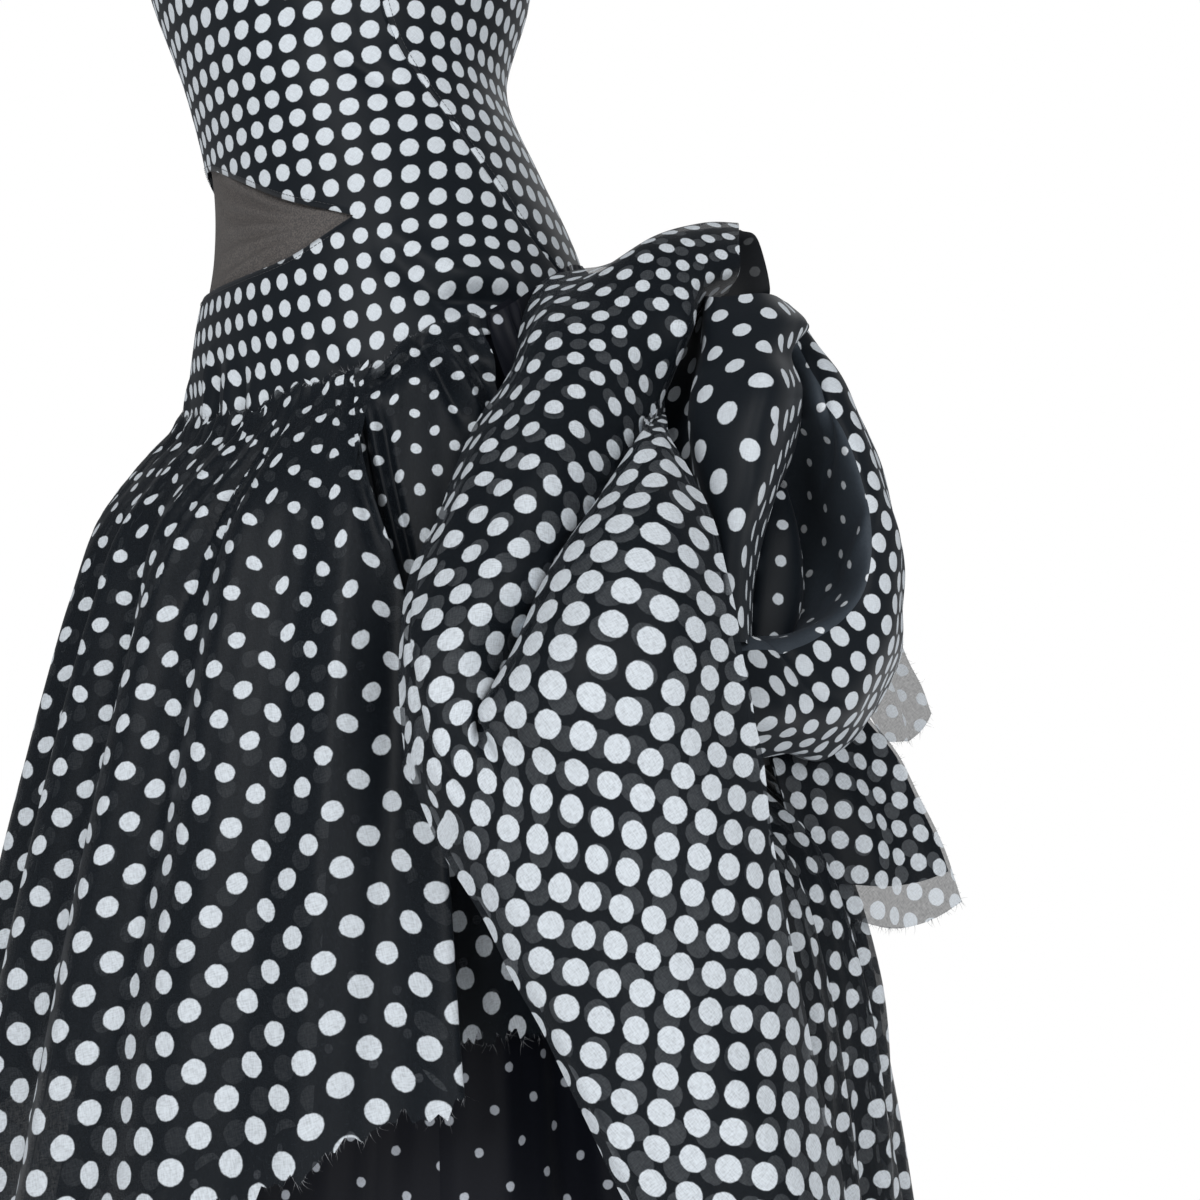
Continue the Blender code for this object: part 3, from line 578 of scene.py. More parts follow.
@dataclass(frozen=True)
class DottedOrganza:
    """Black silk organza printed with pale dots.

    Attributes:
        name: Material name.
        lattice: Where the dots are.
        ground: Colour between the dots.
        dot: Colour of the ink.
        cover: How much the ground hides, from 0 to 1.
        dot_cover: How much the ink hides.
        roughness: Roughness of the silk.
        sheen: Strength of its sheen.
    """

    name: str
    lattice: Lattice
    ground: Colour = (0.0055, 0.0082, 0.0118)
    dot: Colour = (0.57, 0.615, 0.66)
    cover: float = 1.0
    dot_cover: float = 1.0
    roughness: float = 0.50
    sheen: float = 0.045

    def material(self, wardrobe: Wardrobe) -> bpy.types.Material:
        """Build the material: printed dots over threaded ground, on the piece's cut."""
        material, wiring, shader = new_material(self.name)
        place = wiring.add("ShaderNodeUVMap", uv_map="cut").outputs[0]
        size = wiring.add("ShaderNodeAttribute", attribute_name="dot_diameter").outputs["Fac"]
        mask = wiring.group(wardrobe.dots, Vector=place, Pitch=self.lattice.pitch, Lean=self.lattice.lean,
                            Row=self.lattice.row, Diameter=size)["Mask"]
        bias = wiring.add("ShaderNodeVectorRotate", rotation_type="Z_AXIS")
        wiring.fill(bias, Vector=place, Angle=np.radians(THREAD_BIAS))
        threads = wiring.group(wardrobe.threads, Vector=bias.outputs[0], Strength=0.8)
        tinted = wiring.add("ShaderNodeVectorMath", operation="SCALE")
        wiring.feed(tinted.inputs[0], wiring.blend(mask, self.ground, self.dot))
        wiring.fill(tinted, Scale=threads["Tone"])
        if self.cover < 1.0:
            cover = wiring.reach(mask, 0.0, 1.0, self.cover, self.dot_cover, False)
            wiring.fill(shader, Alpha=wiring.math("MULTIPLY", threads["Tone"], cover))
        wiring.fill(shader, Base_Color=tinted.outputs[0], Normal=wiring.bump(threads["Height"], 0.25),
                    Roughness=wiring.reach(mask, 0.0, 1.0, self.roughness, self.roughness + 0.15, False),
                    Specular_IOR_Level=0.16, Sheen_Weight=self.sheen, Sheen_Roughness=0.45,
                    Sheen_Tint=(0.72, 0.78, 0.88, 1.0))
        return material


@dataclass(frozen=True)
class Plain:
    """A plain finish with a fine grain: net, tape, thread or metal.

    Attributes:
        name: Material name.
        light: Colour on the high places of the grain.
        dark: Colour in its low places.
        grain: Size of the grain in metres.
        cover: How much it hides, from 0 to 1.
        roughness: Its roughness.
        metallic: 1 for bare metal.
    """

    name: str
    light: Colour
    dark: Colour
    grain: float
    cover: float = 1.0
    roughness: float = 0.6
    metallic: float = 0.0

    def material(self, wardrobe: Wardrobe) -> bpy.types.Material:
        """Build the material: two colours mixed by a grain in object space, with no shared group."""
        material, wiring, shader = new_material(self.name)
        place = wiring.add("ShaderNodeTexCoord").outputs["Object"]
        grain = wiring.noise(place, 1.0 / self.grain, 3.0)
        if self.cover < 1.0:
            wiring.fill(shader, Alpha=wiring.reach(grain, 0.3, 0.7, self.cover - 0.04, self.cover + 0.04))
        wiring.fill(shader, Base_Color=wiring.blend(wiring.reach(grain, 0.35, 0.65), self.dark, self.light),
                    Roughness=wiring.reach(grain, 0.3, 0.7, self.roughness, self.roughness + 0.1),
                    Normal=wiring.bump(grain, 0.2), Metallic=self.metallic)
        return material


BODICE_CLOTH = DottedOrganza("bodice organza", SQUARE_SMALL)
DRAPE_CLOTH = DottedOrganza("drape organza", SQUARE_LARGE, cover=0.74, dot_cover=0.97)
DRAPE_LINING = DottedOrganza("drape organza beneath", SQUARE_LARGE)
OVERSKIRT_CLOTH = DottedOrganza("overskirt organza", SQUARE_OVER, cover=0.86, dot_cover=0.97)
OVERSKIRT_LINING = DottedOrganza("overskirt organza beneath", SQUARE_OVER, cover=0.9, dot_cover=0.96)
UNDERSKIRT_CLOTH = DottedOrganza("underskirt organza", STAGGERED_UNDER, ground=(0.004, 0.005, 0.009),
                                 dot=(0.42, 0.45, 0.50))
POUF_CLOTH = DottedOrganza("pouf organza", WIDE)
# Bowl of the pouf: ground and dots painted lighter than the cloth's own, painted light for the light that
# reaches into the shaded hollow.
BOWL_CLOTH_PAINTED_LIGHT = DottedOrganza("bowl organza", WIDE, ground=(0.045, 0.056, 0.070), dot=(0.78, 0.82, 0.86))
RIM_CLOTH = DottedOrganza("rim organza", SQUARE_LARGE)
# Back wall inside the roll's loop: ground and dots painted near black, painted shade for the shadow in the
# loop.
LOOP_CLOTH_PAINTED_SHADE = DottedOrganza("loop organza", WIDE, ground=(0.005, 0.0065, 0.009), dot=(0.08, 0.085, 0.09))
TAIL_CLOTH = DottedOrganza("tail organza", SQUARE_TAIL, cover=0.70, dot_cover=0.92)
NET = Plain("sheer net", (0.108, 0.096, 0.090), (0.050, 0.047, 0.047), 0.0009, cover=0.93, roughness=0.7)
TAPE = Plain("zip tape", (0.030, 0.030, 0.034), (0.014, 0.014, 0.017), 0.0008, roughness=0.8)
METAL = Plain("dark metal", (0.22, 0.22, 0.23), (0.12, 0.12, 0.13), 0.0006, roughness=0.32, metallic=1.0)
THREAD = Plain("black thread", (0.060, 0.063, 0.070), (0.020, 0.022, 0.026), 0.0004, roughness=0.6)
PALE_THREAD = Plain("frayed thread", (0.26, 0.27, 0.29), (0.06, 0.063, 0.07), 0.004, roughness=0.6)


class Wardrobe:
    """Hands out each finish's material, built once, and the shader groups that they share."""

    def __init__(self) -> None:
        """Make the groups, and start with no material."""
        self.dots, self.threads = dot_group(), thread_group()
        self.made: dict[str, bpy.types.Material] = {}

    def get(self, finish: DottedOrganza | Plain) -> bpy.types.Material:
        """Material of a finish."""
        if finish.name not in self.made:
            self.made[finish.name] = finish.material(self)
        return self.made[finish.name]


# ---- meshes
def grid_faces(rows: int, columns: int, start: int = 0) -> Array:
    """Quads of a grid, wound so that a grid running down and round faces out."""
    first = start + np.arange(rows)[:, None] * (columns + 1) + np.arange(columns)[None, :]
    quads = np.stack((first, first + columns + 1, first + columns + 2, first + 1), axis=-1)
    return quads.reshape(-1, 4)


def repeated_faces(count: int, rows: int, columns: int) -> Array:
    """Quads of equal small grids that follow one another."""
    size = (rows + 1) * (columns + 1)
    return (np.arange(count)[:, None, None] * size + grid_faces(rows, columns)).reshape(-1, 4)


def run_along(path: Array) -> Array:
    """Distance of each point of a path from its start."""
    return np.concatenate(((0.0,), np.cumsum(np.linalg.norm(np.diff(path, axis=0), axis=1))))


def read_run(at: Array, run: Array, values: Array) -> Array:
    """Read vectors given along a path at distances from its start."""
    return np.stack([np.interp(at, run, values[:, axis]) for axis in range(3)], axis=-1)


def put_mesh(name: str, points: Array, faces: Array, material: bpy.types.Material) -> Piece:
    """Put a mesh of quads into the scene, smooth shaded, with its piece at the origin."""
    points = np.asarray(points, dtype=np.float32).reshape(-1, 3)
    mesh = bpy.data.meshes.new(name)
    mesh.vertices.add(len(points))
    mesh.vertices.foreach_set("co", points.ravel())
    mesh.loops.add(faces.size)
    mesh.loops.foreach_set("vertex_index", faces.ravel().astype(np.int32))
    mesh.polygons.add(len(faces))
    mesh.polygons.foreach_set("loop_start", np.arange(0, faces.size, 4, dtype=np.int32))
    mesh.update(calc_edges=True)
    mesh.shade_smooth()
    mesh.materials.append(material)
    piece = bpy.data.objects.new(name, mesh)
    bpy.context.scene.collection.objects.link(piece)
    return piece


def turned(places: Array, degrees: float) -> Array:
    """Flat places turned anticlockwise about the origin."""
    angle = np.radians(degrees)
    return places @ np.array(((np.cos(angle), np.sin(angle)), (-np.sin(angle), np.cos(angle))))


def grid_area(grid: Array) -> float:
    """Area of a grid in two or three dimensions, from the diagonals of its cells.

    A cell's area is half the area of the parallelogram on its diagonals:
    the square of that is the product of their squares less their dot product's.
    """
    first, second = grid[1:, 1:] - grid[:-1, :-1], grid[:-1, 1:] - grid[1:, :-1]
    product = (first * second).sum(axis=-1)
    square = (first ** 2).sum(axis=-1) * (second ** 2).sum(axis=-1) - product ** 2
    return float(np.sqrt(np.maximum(square, 0)).sum() / 2)


@dataclass
class Sheet:
    """One sheet of cloth.

    Attributes:
        name: Piece name.
        points: Its draped grid, rows running down, columns to the right as seen from outside.
        finish: What it is made of.
        held: How it is held; not used.
        slot: Name of a material slot; not used.
        stands_for: CAD nodes that it replaces.
        rests_on: Nodes or pieces that carry it; not used.
        cut: Its flat coordinates, worked out where not given.
        spots: Diameter of its dots, one value or one a point.
        bias: Turn of its cut on the printed cloth, in degrees.
        shift: Where its cut starts on the printed cloth, in metres.
        anchor: Share across it of the column that stays upright.
        wall: Its thickness, 0 for a sheer layer.
        trims: Its threads and stitches.
    """

    name: str
    points: Array
    finish: DottedOrganza | Plain
    held: Hold
    slot: str
    stands_for: Sequence[str] = ()
    rests_on: Sequence[str] = ()
    cut: Array | None = None
    spots: Array | float = 0.010
    bias: float = 0.0
    shift: tuple[float, float] = (0.0, 0.0)
    anchor: float = 0.5
    wall: float = 0.0
    trims: list[Piece] = field(default_factory=list)

    def put(self, wardrobe: Wardrobe) -> Piece:
        tall, wide = self.points.shape[:2]
        if self.cut is None:
            self.cut = lay_flat(self.points, self.anchor)
        piece = put_mesh(self.name, self.points, grid_faces(tall - 1, wide - 1),
                         wardrobe.get(self.finish))
        self.dress(piece, self.cut.reshape(-1, 2), np.broadcast_to(self.spots, (tall, wide)).ravel(),
                   grid_area(self.points), grid_area(self.cut))
        return piece

    def dress(self, piece: Piece, cut: Array, spots: Array, area: float,
              printed_area: float) -> None:
        """Give a piece its print, its dots and its wall, fix it and its trims to the dress, and hide the
        nodes that it stands for.

        Args:
            piece: The mesh object.
            cut: Flat coordinates of the print, one pair a point.
            spots: Dot diameter at each point.
            area: Area of the cloth as draped, which is that of its cut.
            printed_area: Area of the flat coordinates.
        """
        mesh = piece.data
        corners = np.empty(len(mesh.loops), dtype=np.int32)
        mesh.loops.foreach_get("vertex_index", corners)
        printed = turned(cut, self.bias) + np.array(self.shift)
        mesh.uv_layers.new(name="cut").data.foreach_set("uv", printed[corners].astype(np.float32).ravel())
        layer = mesh.attributes.new("dot_diameter", "FLOAT", "POINT")
        layer.data.foreach_set("value", np.asarray(spots, dtype=np.float32))
        if self.wall:
            shell = piece.modifiers.new("wall", "SOLIDIFY")
            shell.thickness = self.wall
            shell.offset = -1.0
        ride(piece, self.stands_for)
        for trim in self.trims:
            ride(trim)


def ride(piece: Piece, stands_for: Sequence[str] = (), body: str = "root") -> None:
    """Fix a piece to a body of the dress and the nodes that it stands for."""
    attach(piece, body)
    if stands_for:
        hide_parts(*stands_for)


# ---- sewing and raw edges
@dataclass(frozen=True)
class Fray:
    """Loose threads along a raw edge.

    Attributes:
        every: Mean distance between them, in metres.
        length: Length of the longest.
        width: Width of a thread.
        spread: How far they lean off the cloth's own line, from 0 to 1.
        seed: Draw of lengths and leanings.
    """

    every: float = 0.0011
    length: float = 0.007
    width: float = 0.00022
    spread: float = 0.6
    seed: int = 3

    def put(self, name: str, edge: Array, inside: Array, wardrobe: Wardrobe) -> Piece:
        """Lay threads along an edge.

        A thread is a ribbon of three cells that leaves the edge in the
        cloth's own direction plus a random leaning, and curls by a parabola.

        Args:
            name: Piece name.
            edge: Points along the raw edge.
            inside: The next row of points inside the cloth.
            wardrobe: Where the material comes from.

        Returns:
            The piece.
        """
        draw = np.random.default_rng(self.seed)
        run = run_along(edge)
        count = max(8, int(run[-1] / self.every))
        at = np.sort(draw.uniform(0, run[-1], count))
        base = read_run(at, run, edge)
        away = unit(base - read_run(at, run, inside))
        along = unit(read_run(at, run, np.gradient(edge, axis=0)))
        normal = np.cross(away, along)
        lean = self.spread * (draw.normal(size=(count, 1)) * along
                              + 0.5 * draw.normal(size=(count, 1)) * normal)
        curl = self.spread * 0.5 * (draw.normal(size=(count, 1)) * along
                                    + draw.normal(size=(count, 1)) * normal)
        length = self.length * draw.uniform(0.15, 1.0, (count, 1)) ** 1.6
        share = np.linspace(0, 1, 4)[None, :, None]
        line = (base - 0.0006 * away)[:, None] + length[:, None] * (
            share * unit(away + lean)[:, None] + share ** 2 * curl[:, None])
        half = self.width / 2 * unit(along + 0.4 * normal)[:, None] * (1.1 - share)
        points = np.stack((line - half, line + half), axis=2)
        return put_mesh(name, points, repeated_faces(count, 3, 1), wardrobe.get(PALE_THREAD))


@dataclass(frozen=True)
class Stitches:
    """A row of machine stitches: short fat threads lying along a line.

    Attributes:
        length: Length of one stitch.
        gap: Space between two.
        radius: Half the thread's thickness.
    """

    length: float = 0.0021
    gap: float = 0.0006
    radius: float = 0.00016

    def put(self, name: str, path: Array, out: Array, wardrobe: Wardrobe) -> Piece:
        """Sew along a path.

        A stitch is a tube of six sides and four rings whose radius is the
        thread's times a flat-topped half sine, and it dips at both ends.

        Args:
            name: Piece name.
            path: Points of the line.
            out: Unit normals of the cloth at those points.
            wardrobe: Where the material comes from.

        Returns:
            The piece.
        """
        run = run_along(path)
        starts = np.arange(0, run[-1] - self.length, self.length + self.gap)
        at = starts[:, None] + self.length * np.array((0.0, 0.2, 0.8, 1.0))
        centre = read_run(at, run, path)
        normal = unit(read_run(at, run, out))
        along = unit(centre[:, -1:] - centre[:, :1]) + 0 * centre
        side = np.cross(along, normal)
        full = np.array((0.35, 1.0, 1.0, 0.35))[None, :, None]
        centre = centre + self.radius * (full - 0.2) * normal
        angle = np.linspace(0, 2 * np.pi, 7)
        ring = np.cos(angle)[:, None] * side[:, :, None] + np.sin(angle)[:, None] * normal[:, :, None]
        points = centre[:, :, None] + self.radius * full[..., None] * ring
        return put_mesh(name, points, repeated_faces(len(starts), 3, 6), wardrobe.get(THREAD))


# ---- bodice and yoke
class PrintRow(NamedTuple):
    """Number of the row of dots that lies at a height at the front."""

    height: float
    row: float


class PrintColumn(NamedTuple):
    """Place round from the side of one column of dots, and the pitch in front of it, by height."""

    height: float
    start: float
    pitch: float


class RowRise(NamedTuple):
    """Share of the rise of a row, by the place round from the side."""

    around: float
    share: float


class RiseHeight(NamedTuple):
    """How far a row of dots rises towards the side, by height."""

    height: float
    rise: float


PRINT_ROWS = (PrintRow(-0.260, 20.1), PrintRow(-0.197, 16.0), PrintRow(-0.135, 12.0),
              PrintRow(-0.073, 8.0), PrintRow(-0.004, 3.0), PrintRow(0.200, -11.8))
PRINT_COLUMNS = (PrintColumn(-0.260, -0.004, 0.0115), PrintColumn(-0.190, 0.001, 0.0120),
                 PrintColumn(-0.160, 0.004, 0.0132), PrintColumn(-0.118, -0.001, 0.0132),
                 PrintColumn(-0.100, 0.000, 0.0137), PrintColumn(-0.073, 0.007, 0.0150),
                 PrintColumn(-0.045, 0.014, 0.0155), PrintColumn(-0.015, 0.022, 0.0155),
                 PrintColumn(0.010, 0.026, 0.0154), PrintColumn(0.200, 0.040, 0.0154))
BACK_PITCH = 0.0156       # pitch of the dots behind that column
BACK_START = 112.0        # turn from which the columns at the back begin to stand upright
BACK_UPRIGHT = 0.7        # how far they do, from 0 to 1
BACK_HEIGHT = 0.07        # height at which they are measured
RIGHT_PITCH = 0.0148      # pitch of the dots past the centre front
RIGHT_COLUMN = -15.0      # column at the centre front that the right side's are counted from
RIGHT_BLEND = 80.0        # turn past the centre front at which they are all counted so
ROW_RISE = (RowRise(-0.30, 0.0), RowRise(-0.090, 0.0), RowRise(-0.060, 0.15), RowRise(-0.030, 0.40),
            RowRise(0.0, 0.80), RowRise(0.030, 1.25), RowRise(0.060, 1.30), RowRise(0.20, 1.30))
RISE_HEIGHT = (RiseHeight(-0.26, 0.020), RiseHeight(-0.12, 0.020), RiseHeight(-0.10, 0.015),
               RiseHeight(-0.06, 0.013), RiseHeight(0.20, 0.013))
# Creases in the bodice and yoke: across is the way round from the side, down is the height.
BODICE_CREASES = (
    Crease((-0.020, 0.002), (0.032, -0.024), 0.007, -0.0043, 0.003),
    Crease((-0.050, 0.014), (0.010, 0.012), 0.009, 0.0027, -0.002),
    Crease((-0.024, -0.112), (0.040, -0.152), 0.006, -0.0050, 0.003),
    Crease((-0.016, -0.104), (0.046, -0.136), 0.007, 0.0032, 0.003),
    Crease((0.012, -0.146), (0.085, -0.146), 0.006, -0.0093, -0.004),
    Crease((0.015, -0.128), (0.080, -0.130), 0.007, 0.0043, -0.003),
    Crease((-0.160, -0.158), (-0.152, -0.214), 0.0030, 0.0037),
    Crease((-0.147, -0.166), (-0.142, -0.214), 0.0034, -0.0037, 0.002),
    Crease((-0.135, -0.160), (-0.131, -0.216), 0.0030, 0.0034, -0.002),
    Crease((-0.121, -0.170), (-0.118, -0.216), 0.0034, -0.0034),
    Crease((-0.106, -0.176), (-0.106, -0.216), 0.0036, 0.0027, 0.002),
    Crease((-0.070, -0.168), (-0.020, -0.190), 0.0080, -0.0032, 0.004),
    Crease((-0.200, -0.170), (-0.196, -0.208), 0.0040, 0.0027, 0.002),
    Crease((-0.225, -0.166), (-0.226, -0.204), 0.0040, -0.0027, -0.002),
    Crease((0.010, 0.060), (0.030, 0.150), 0.012, -0.0022, 0.004),
)


class Fitted:
    """Flat coordinates of the print on cloth that lies close on the figure.

    The way round from the left side is read off a fine net of the figure.
    Rows of dots rise from the front towards the side, and columns lean.
    """

    def __init__(self) -> None:
        """Measure the net."""
        self.turns = np.linspace(-195, 195, 196)
        self.heights = np.linspace(-0.26, 0.215, 96)
        net = on_figure(self.turns[None, :], self.heights[:, None])
        around = np.linalg.norm(np.diff(net, axis=1), axis=2)
        around = np.pad(np.cumsum(around, axis=1), ((0, 0), (1, 0)))
        side = np.argmin(np.abs(self.turns - 90))
        self.net = around - around[:, side:side + 1]

    def around(self, turn: Array, height: Array) -> Array:
        """Way round from the left side to a turn at a height, read off the net between its points."""
        x = np.interp(turn, self.turns, np.arange(len(self.turns)))
        y = np.interp(height, self.heights, np.arange(len(self.heights)))
        i = np.minimum(x.astype(int), len(self.turns) - 2)
        j = np.minimum(y.astype(int), len(self.heights) - 2)
        s, t = x - i, y - j
        return ((1 - t) * ((1 - s) * self.net[j, i] + s * self.net[j, i + 1])
                + t * ((1 - s) * self.net[j + 1, i] + s * self.net[j + 1, i + 1]))

    def cut(self, turn: Array, height: Array) -> Array:
        """Flat coordinates: numbers of the column and the row of dots, times the pitch."""
        turn = turn + 0 * height
        from_side = self.around(np.abs(turn), height)
        rise = read(ROW_RISE, "around", "share", from_side) * read(RISE_HEIGHT, "height", "rise", height)
        row = read(PRINT_ROWS, "height", "row", height - rise)
        left = np.maximum(turn, 0.0)
        start, pitch = (read(PRINT_COLUMNS, "height", name, height) for name in ("start", "pitch"))
        upright = BACK_UPRIGHT * ease((left - BACK_START) / 50)
        across = (self.around(left, height) * (1 - upright) + self.around(left, BACK_HEIGHT) * upright
                  - start)
        number = across / np.where(across > 0, BACK_PITCH, pitch)
        lean = (self.around(0.0, height) - start) / pitch
        right = (self.around(turn, height) - self.around(left, height)) / RIGHT_PITCH
        number = number + right + (RIGHT_COLUMN - lean) * ease((left - turn) / RIGHT_BLEND)
        return np.stack((number, -row), axis=-1) * SQUARE_SMALL.pitch


def seam_turn(height: Array) -> Array:
    """Turn of the side-back seam at a height."""
    return read(SIDE_SEAM, "height", "turn", height)


def panel_heights(foot_turn: Array, upper_rows: int, lower_rows: int) -> tuple[Array, Array]:
    """Heights of a panel's rows above and below the cut-out, a column for each foot turn."""
    top, foot = edge_height(TOP_EDGE, foot_turn), edge_height(YOKE_FOOT, foot_turn)
    inside = np.abs(foot_turn) < CUTOUT_TIP_TURN
    above = np.where(inside, edge_height(CUTOUT_TOP, foot_turn), CUTOUT_TIP_HEIGHT)
    below = np.where(inside, edge_height(CUTOUT_FOOT, foot_turn), CUTOUT_TIP_HEIGHT)
    share_up, share_low = shares(upper_rows + 1, 1)[0], shares(lower_rows + 1, 1)[0]
    return top + (above - top) * share_up, below + (foot - below) * share_low


def body_folds(turn: Array, height: Array) -> Array:
    """Rise of the bodice's creases, alike on the left and the right."""
    across = np.radians(np.abs(turn) - 90) * 0.15 + 0.004 * np.sign(turn)
    rise = crease_rise(across, height + 0.003 * np.sign(turn), BODICE_CREASES)
    ripple = np.sin(height * 55 + np.radians(turn) * 3) * np.sin(np.radians(turn) * 7 + height * 21)
    return rise + 0.0004 * ripple


def bodice_dots(points: Array) -> Array:
    """Diameters of the dots at places on the bodice: a little smaller below the waist."""
    return np.interp(points[..., 2], (-0.11, -0.05), (0.0088, 0.0099))


def edge_dip(distance: Array) -> Array:
    """How far a turned and sewn edge dips in, over its last 3 mm."""
    return -0.0011 * ease(1 - distance / 0.003)


@dataclass
class Bodice:
    """Bodice and hip yoke in one: front panel, two back panels and the sheer inset.

    Attributes:
        wardrobe: Where materials come from.
        upper_rows: Cells down the panels above the cut-out.
        lower_rows: Cells down below it.
        front_columns: Cells across the cut-out.
        side_columns: Cells from the cut-out's tip to the side-back seam.
        back_columns: Cells across a back panel.
        wall: Thickness of the cloth with its backing.
    """

    wardrobe: Wardrobe
    upper_rows: int = 60
    lower_rows: int = 30
    front_columns: int = 100
    side_columns: int = 40
    back_columns: int = 44
    wall: float = 0.0005

    def __post_init__(self) -> None:
        """Measure the fitted cloth."""
        self.fitted = Fitted()

    def front_columns_turns(self) -> tuple[Array, Array]:
        """Foot turn of each front column and its share of the way to the seam."""
        middle = np.linspace(-CUTOUT_TIP_TURN, CUTOUT_TIP_TURN, self.front_columns + 1)
        share = np.sin(np.linspace(0, np.pi / 2, self.side_columns + 1))[1:]
        side = CUTOUT_TIP_TURN + (SIDE_SEAM_FOOT - CUTOUT_TIP_TURN) * share
        return (np.concatenate((-side[::-1], middle, side)),
                np.concatenate((share[::-1], 0 * middle, share)))

    def front_grid(self, foot_turn: Array, share: Array, heights: Array) -> tuple[Array, Array]:
        """Points and flat coordinates of front rows at the heights given."""
        reach = CUTOUT_TIP_TURN + (seam_turn(heights) - CUTOUT_TIP_TURN) * share
        turn = np.where(share > 0, np.sign(foot_turn) * reach, foot_turn + 0 * heights)
        to_seam = np.radians(seam_turn(heights) - np.abs(turn)) * 0.14
        to_hole = np.abs(heights - np.where(heights > CUTOUT_TIP_HEIGHT, edge_height(CUTOUT_TOP, foot_turn),
                                            edge_height(CUTOUT_FOOT, foot_turn)))
        dip = edge_dip(to_seam) + np.where(np.abs(foot_turn) < CUTOUT_TIP_TURN, 0.6 * edge_dip(to_hole), 0.0)
        lift = dip + body_folds(turn, heights) * ease(np.minimum(to_seam, 0.012) / 0.012)
        return on_figure(turn, heights, lift), self.fitted.cut(turn, heights)

    def front(self) -> None:
        """Front panel in one piece, split round the diamond.

        Its upper rows end at the cut-out's top and its lower rows start at
        its foot. From the tip outwards both share one row of points.
        """
        turns, share = self.front_columns_turns()
        upper, lower = panel_heights(turns, self.upper_rows, self.lower_rows)
        grids = [self.front_grid(turns, share, heights) for heights in (upper, lower)]
        points = np.concatenate([grid[0].reshape(-1, 3) for grid in grids])
        cut = np.concatenate([grid[1].reshape(-1, 2) for grid in grids])
        columns = len(turns)
        faces = np.concatenate((grid_faces(self.upper_rows, columns - 1),
                                grid_faces(self.lower_rows, columns - 1, (self.upper_rows + 1) * columns)))
        shared = np.flatnonzero(np.abs(turns) >= CUTOUT_TIP_TURN - 1e-6)
        renumber = np.arange(len(points))
        renumber[(self.upper_rows + 1) * columns + shared] = self.upper_rows * columns + shared
        kept = np.unique(renumber)
        faces = np.searchsorted(kept, renumber[faces])
        sheet = Sheet("bodice_front", grids[0][0], BODICE_CLOTH, Hold.STRETCHED, "dotted_organza",
                      ("front_panel",), wall=self.wall)
        piece = put_mesh(sheet.name, points[kept], faces, self.wardrobe.get(BODICE_CLOTH))
        sheet.trims = [self.sew("stitching_cutout_top", CUTOUT_TOP, 0.0032),
                       self.sew("stitching_cutout_foot", CUTOUT_FOOT, -0.0032),
                       self.top_stitching(grids[0][0][1, 3:-3])]
        sheet.dress(piece, cut[kept], bodice_dots(points[kept]),
                    *(sum(grid_area(grid[part]) for grid in grids) for part in (0, 1)))

    def top_stitching(self, row: Array) -> Piece:
        """Top stitching along the front panel's second row of points."""
        out = unit(row * np.array((1.0, 1.0, 0.0)))
        return Stitches().put("stitching_top_edge", row + 0.0001 * out, out, self.wardrobe)

    def sew(self, name: str, edge: Sequence[Edge], aside: float) -> Piece:
        """Top stitching that follows a body edge at a distance above or below it."""
        turns = np.linspace(-70, 70, 220)
        heights = edge_height(edge, turns) + aside
        path = on_figure(turns, heights, body_folds(turns, heights) + 0.0001)
        return Stitches().put(name, path, out_of_figure(turns, heights), self.wardrobe)

    def back(self, side: Side) -> None:
        """One back panel, from the side-back seam to the zip."""
        share = (1 - np.cos(np.linspace(0, np.pi, self.back_columns + 1))) / 2
        foot_turn = SIDE_SEAM_FOOT + (180 - SIDE_SEAM_FOOT) * share
        upper, lower = panel_heights(foot_turn, self.upper_rows, self.lower_rows)
        heights = np.concatenate((upper, lower[1:]))
        start = seam_turn(heights[:, :1])
        turn = start + (180 - start) * share + np.degrees(SEAM_GAP / 0.12) * (1 - 2 * share)
        to_edge = np.radians(np.minimum(turn - start, 180 - turn)) * 0.13
        folds = body_folds(turn, heights) * ease(to_edge / 0.012)
        points = on_figure(side.value * turn, heights, folds + edge_dip(to_edge))
        cut = self.fitted.cut(turn, heights) * np.array((side.value, 1.0)) + np.array((0.004, 0.003))
        if side is Side.RIGHT:
            points, cut = points[:, ::-1], cut[:, ::-1]
        name = side.name.lower()
        seam_heights = np.linspace(0.165, -0.120, 200)
        seam_turns = seam_turn(seam_heights) + 2.0
        line = on_figure(side.value * seam_turns, seam_heights, 0.0001)
        out = unit(on_figure(side.value * seam_turns, seam_heights, 0.01) - line)
        stitches = Stitches().put(f"stitching_seam_{name}", line, out, self.wardrobe)
        Sheet(f"bodice_back_{name}", points, BODICE_CLOTH, Hold.STRETCHED, "dotted_organza",
              (f"back_panel_{name}",), rests_on=("bodice_front",), cut=cut, spots=bodice_dots(points),
              wall=self.wall, trims=[stitches]).put(self.wardrobe)

    def inset(self) -> None:
        """Sheer diamond behind the cut-out, with fine drag lines that fan out from its tips."""
        turns = np.linspace(-CUTOUT_TIP_TURN, CUTOUT_TIP_TURN, 161)
        top = edge_height(CUTOUT_TOP, turns) + SEAM_ALLOWANCE
        foot = edge_height(CUTOUT_FOOT, turns) - SEAM_ALLOWANCE
        heights = top + (foot - top) * shares(41, 1)[0]
        points = on_figure(turns, heights, -CLOTH - INSET_GAP)
        half, tip_down = 0.190, 0.027
        fan = [Crease((half + side * (half - 0.012), tip_down),
                      (half + side * 0.035, 0.004 + 0.0075 * number), 0.0030, 0.0022 * (-1) ** number, 0.002)
               for side in (-1, 1) for number in range(12)]
        Sheet("sheer_net_inset", creased(points, fan), NET, Hold.STRETCHED, "sheer_net", ("sheer_inset",),
              rests_on=("bodice_front",)).put(self.wardrobe)

    def build(self) -> None:
        """Make the whole bodice."""
        self.front()
        for side in Side:
            self.back(side)
        self.inset()


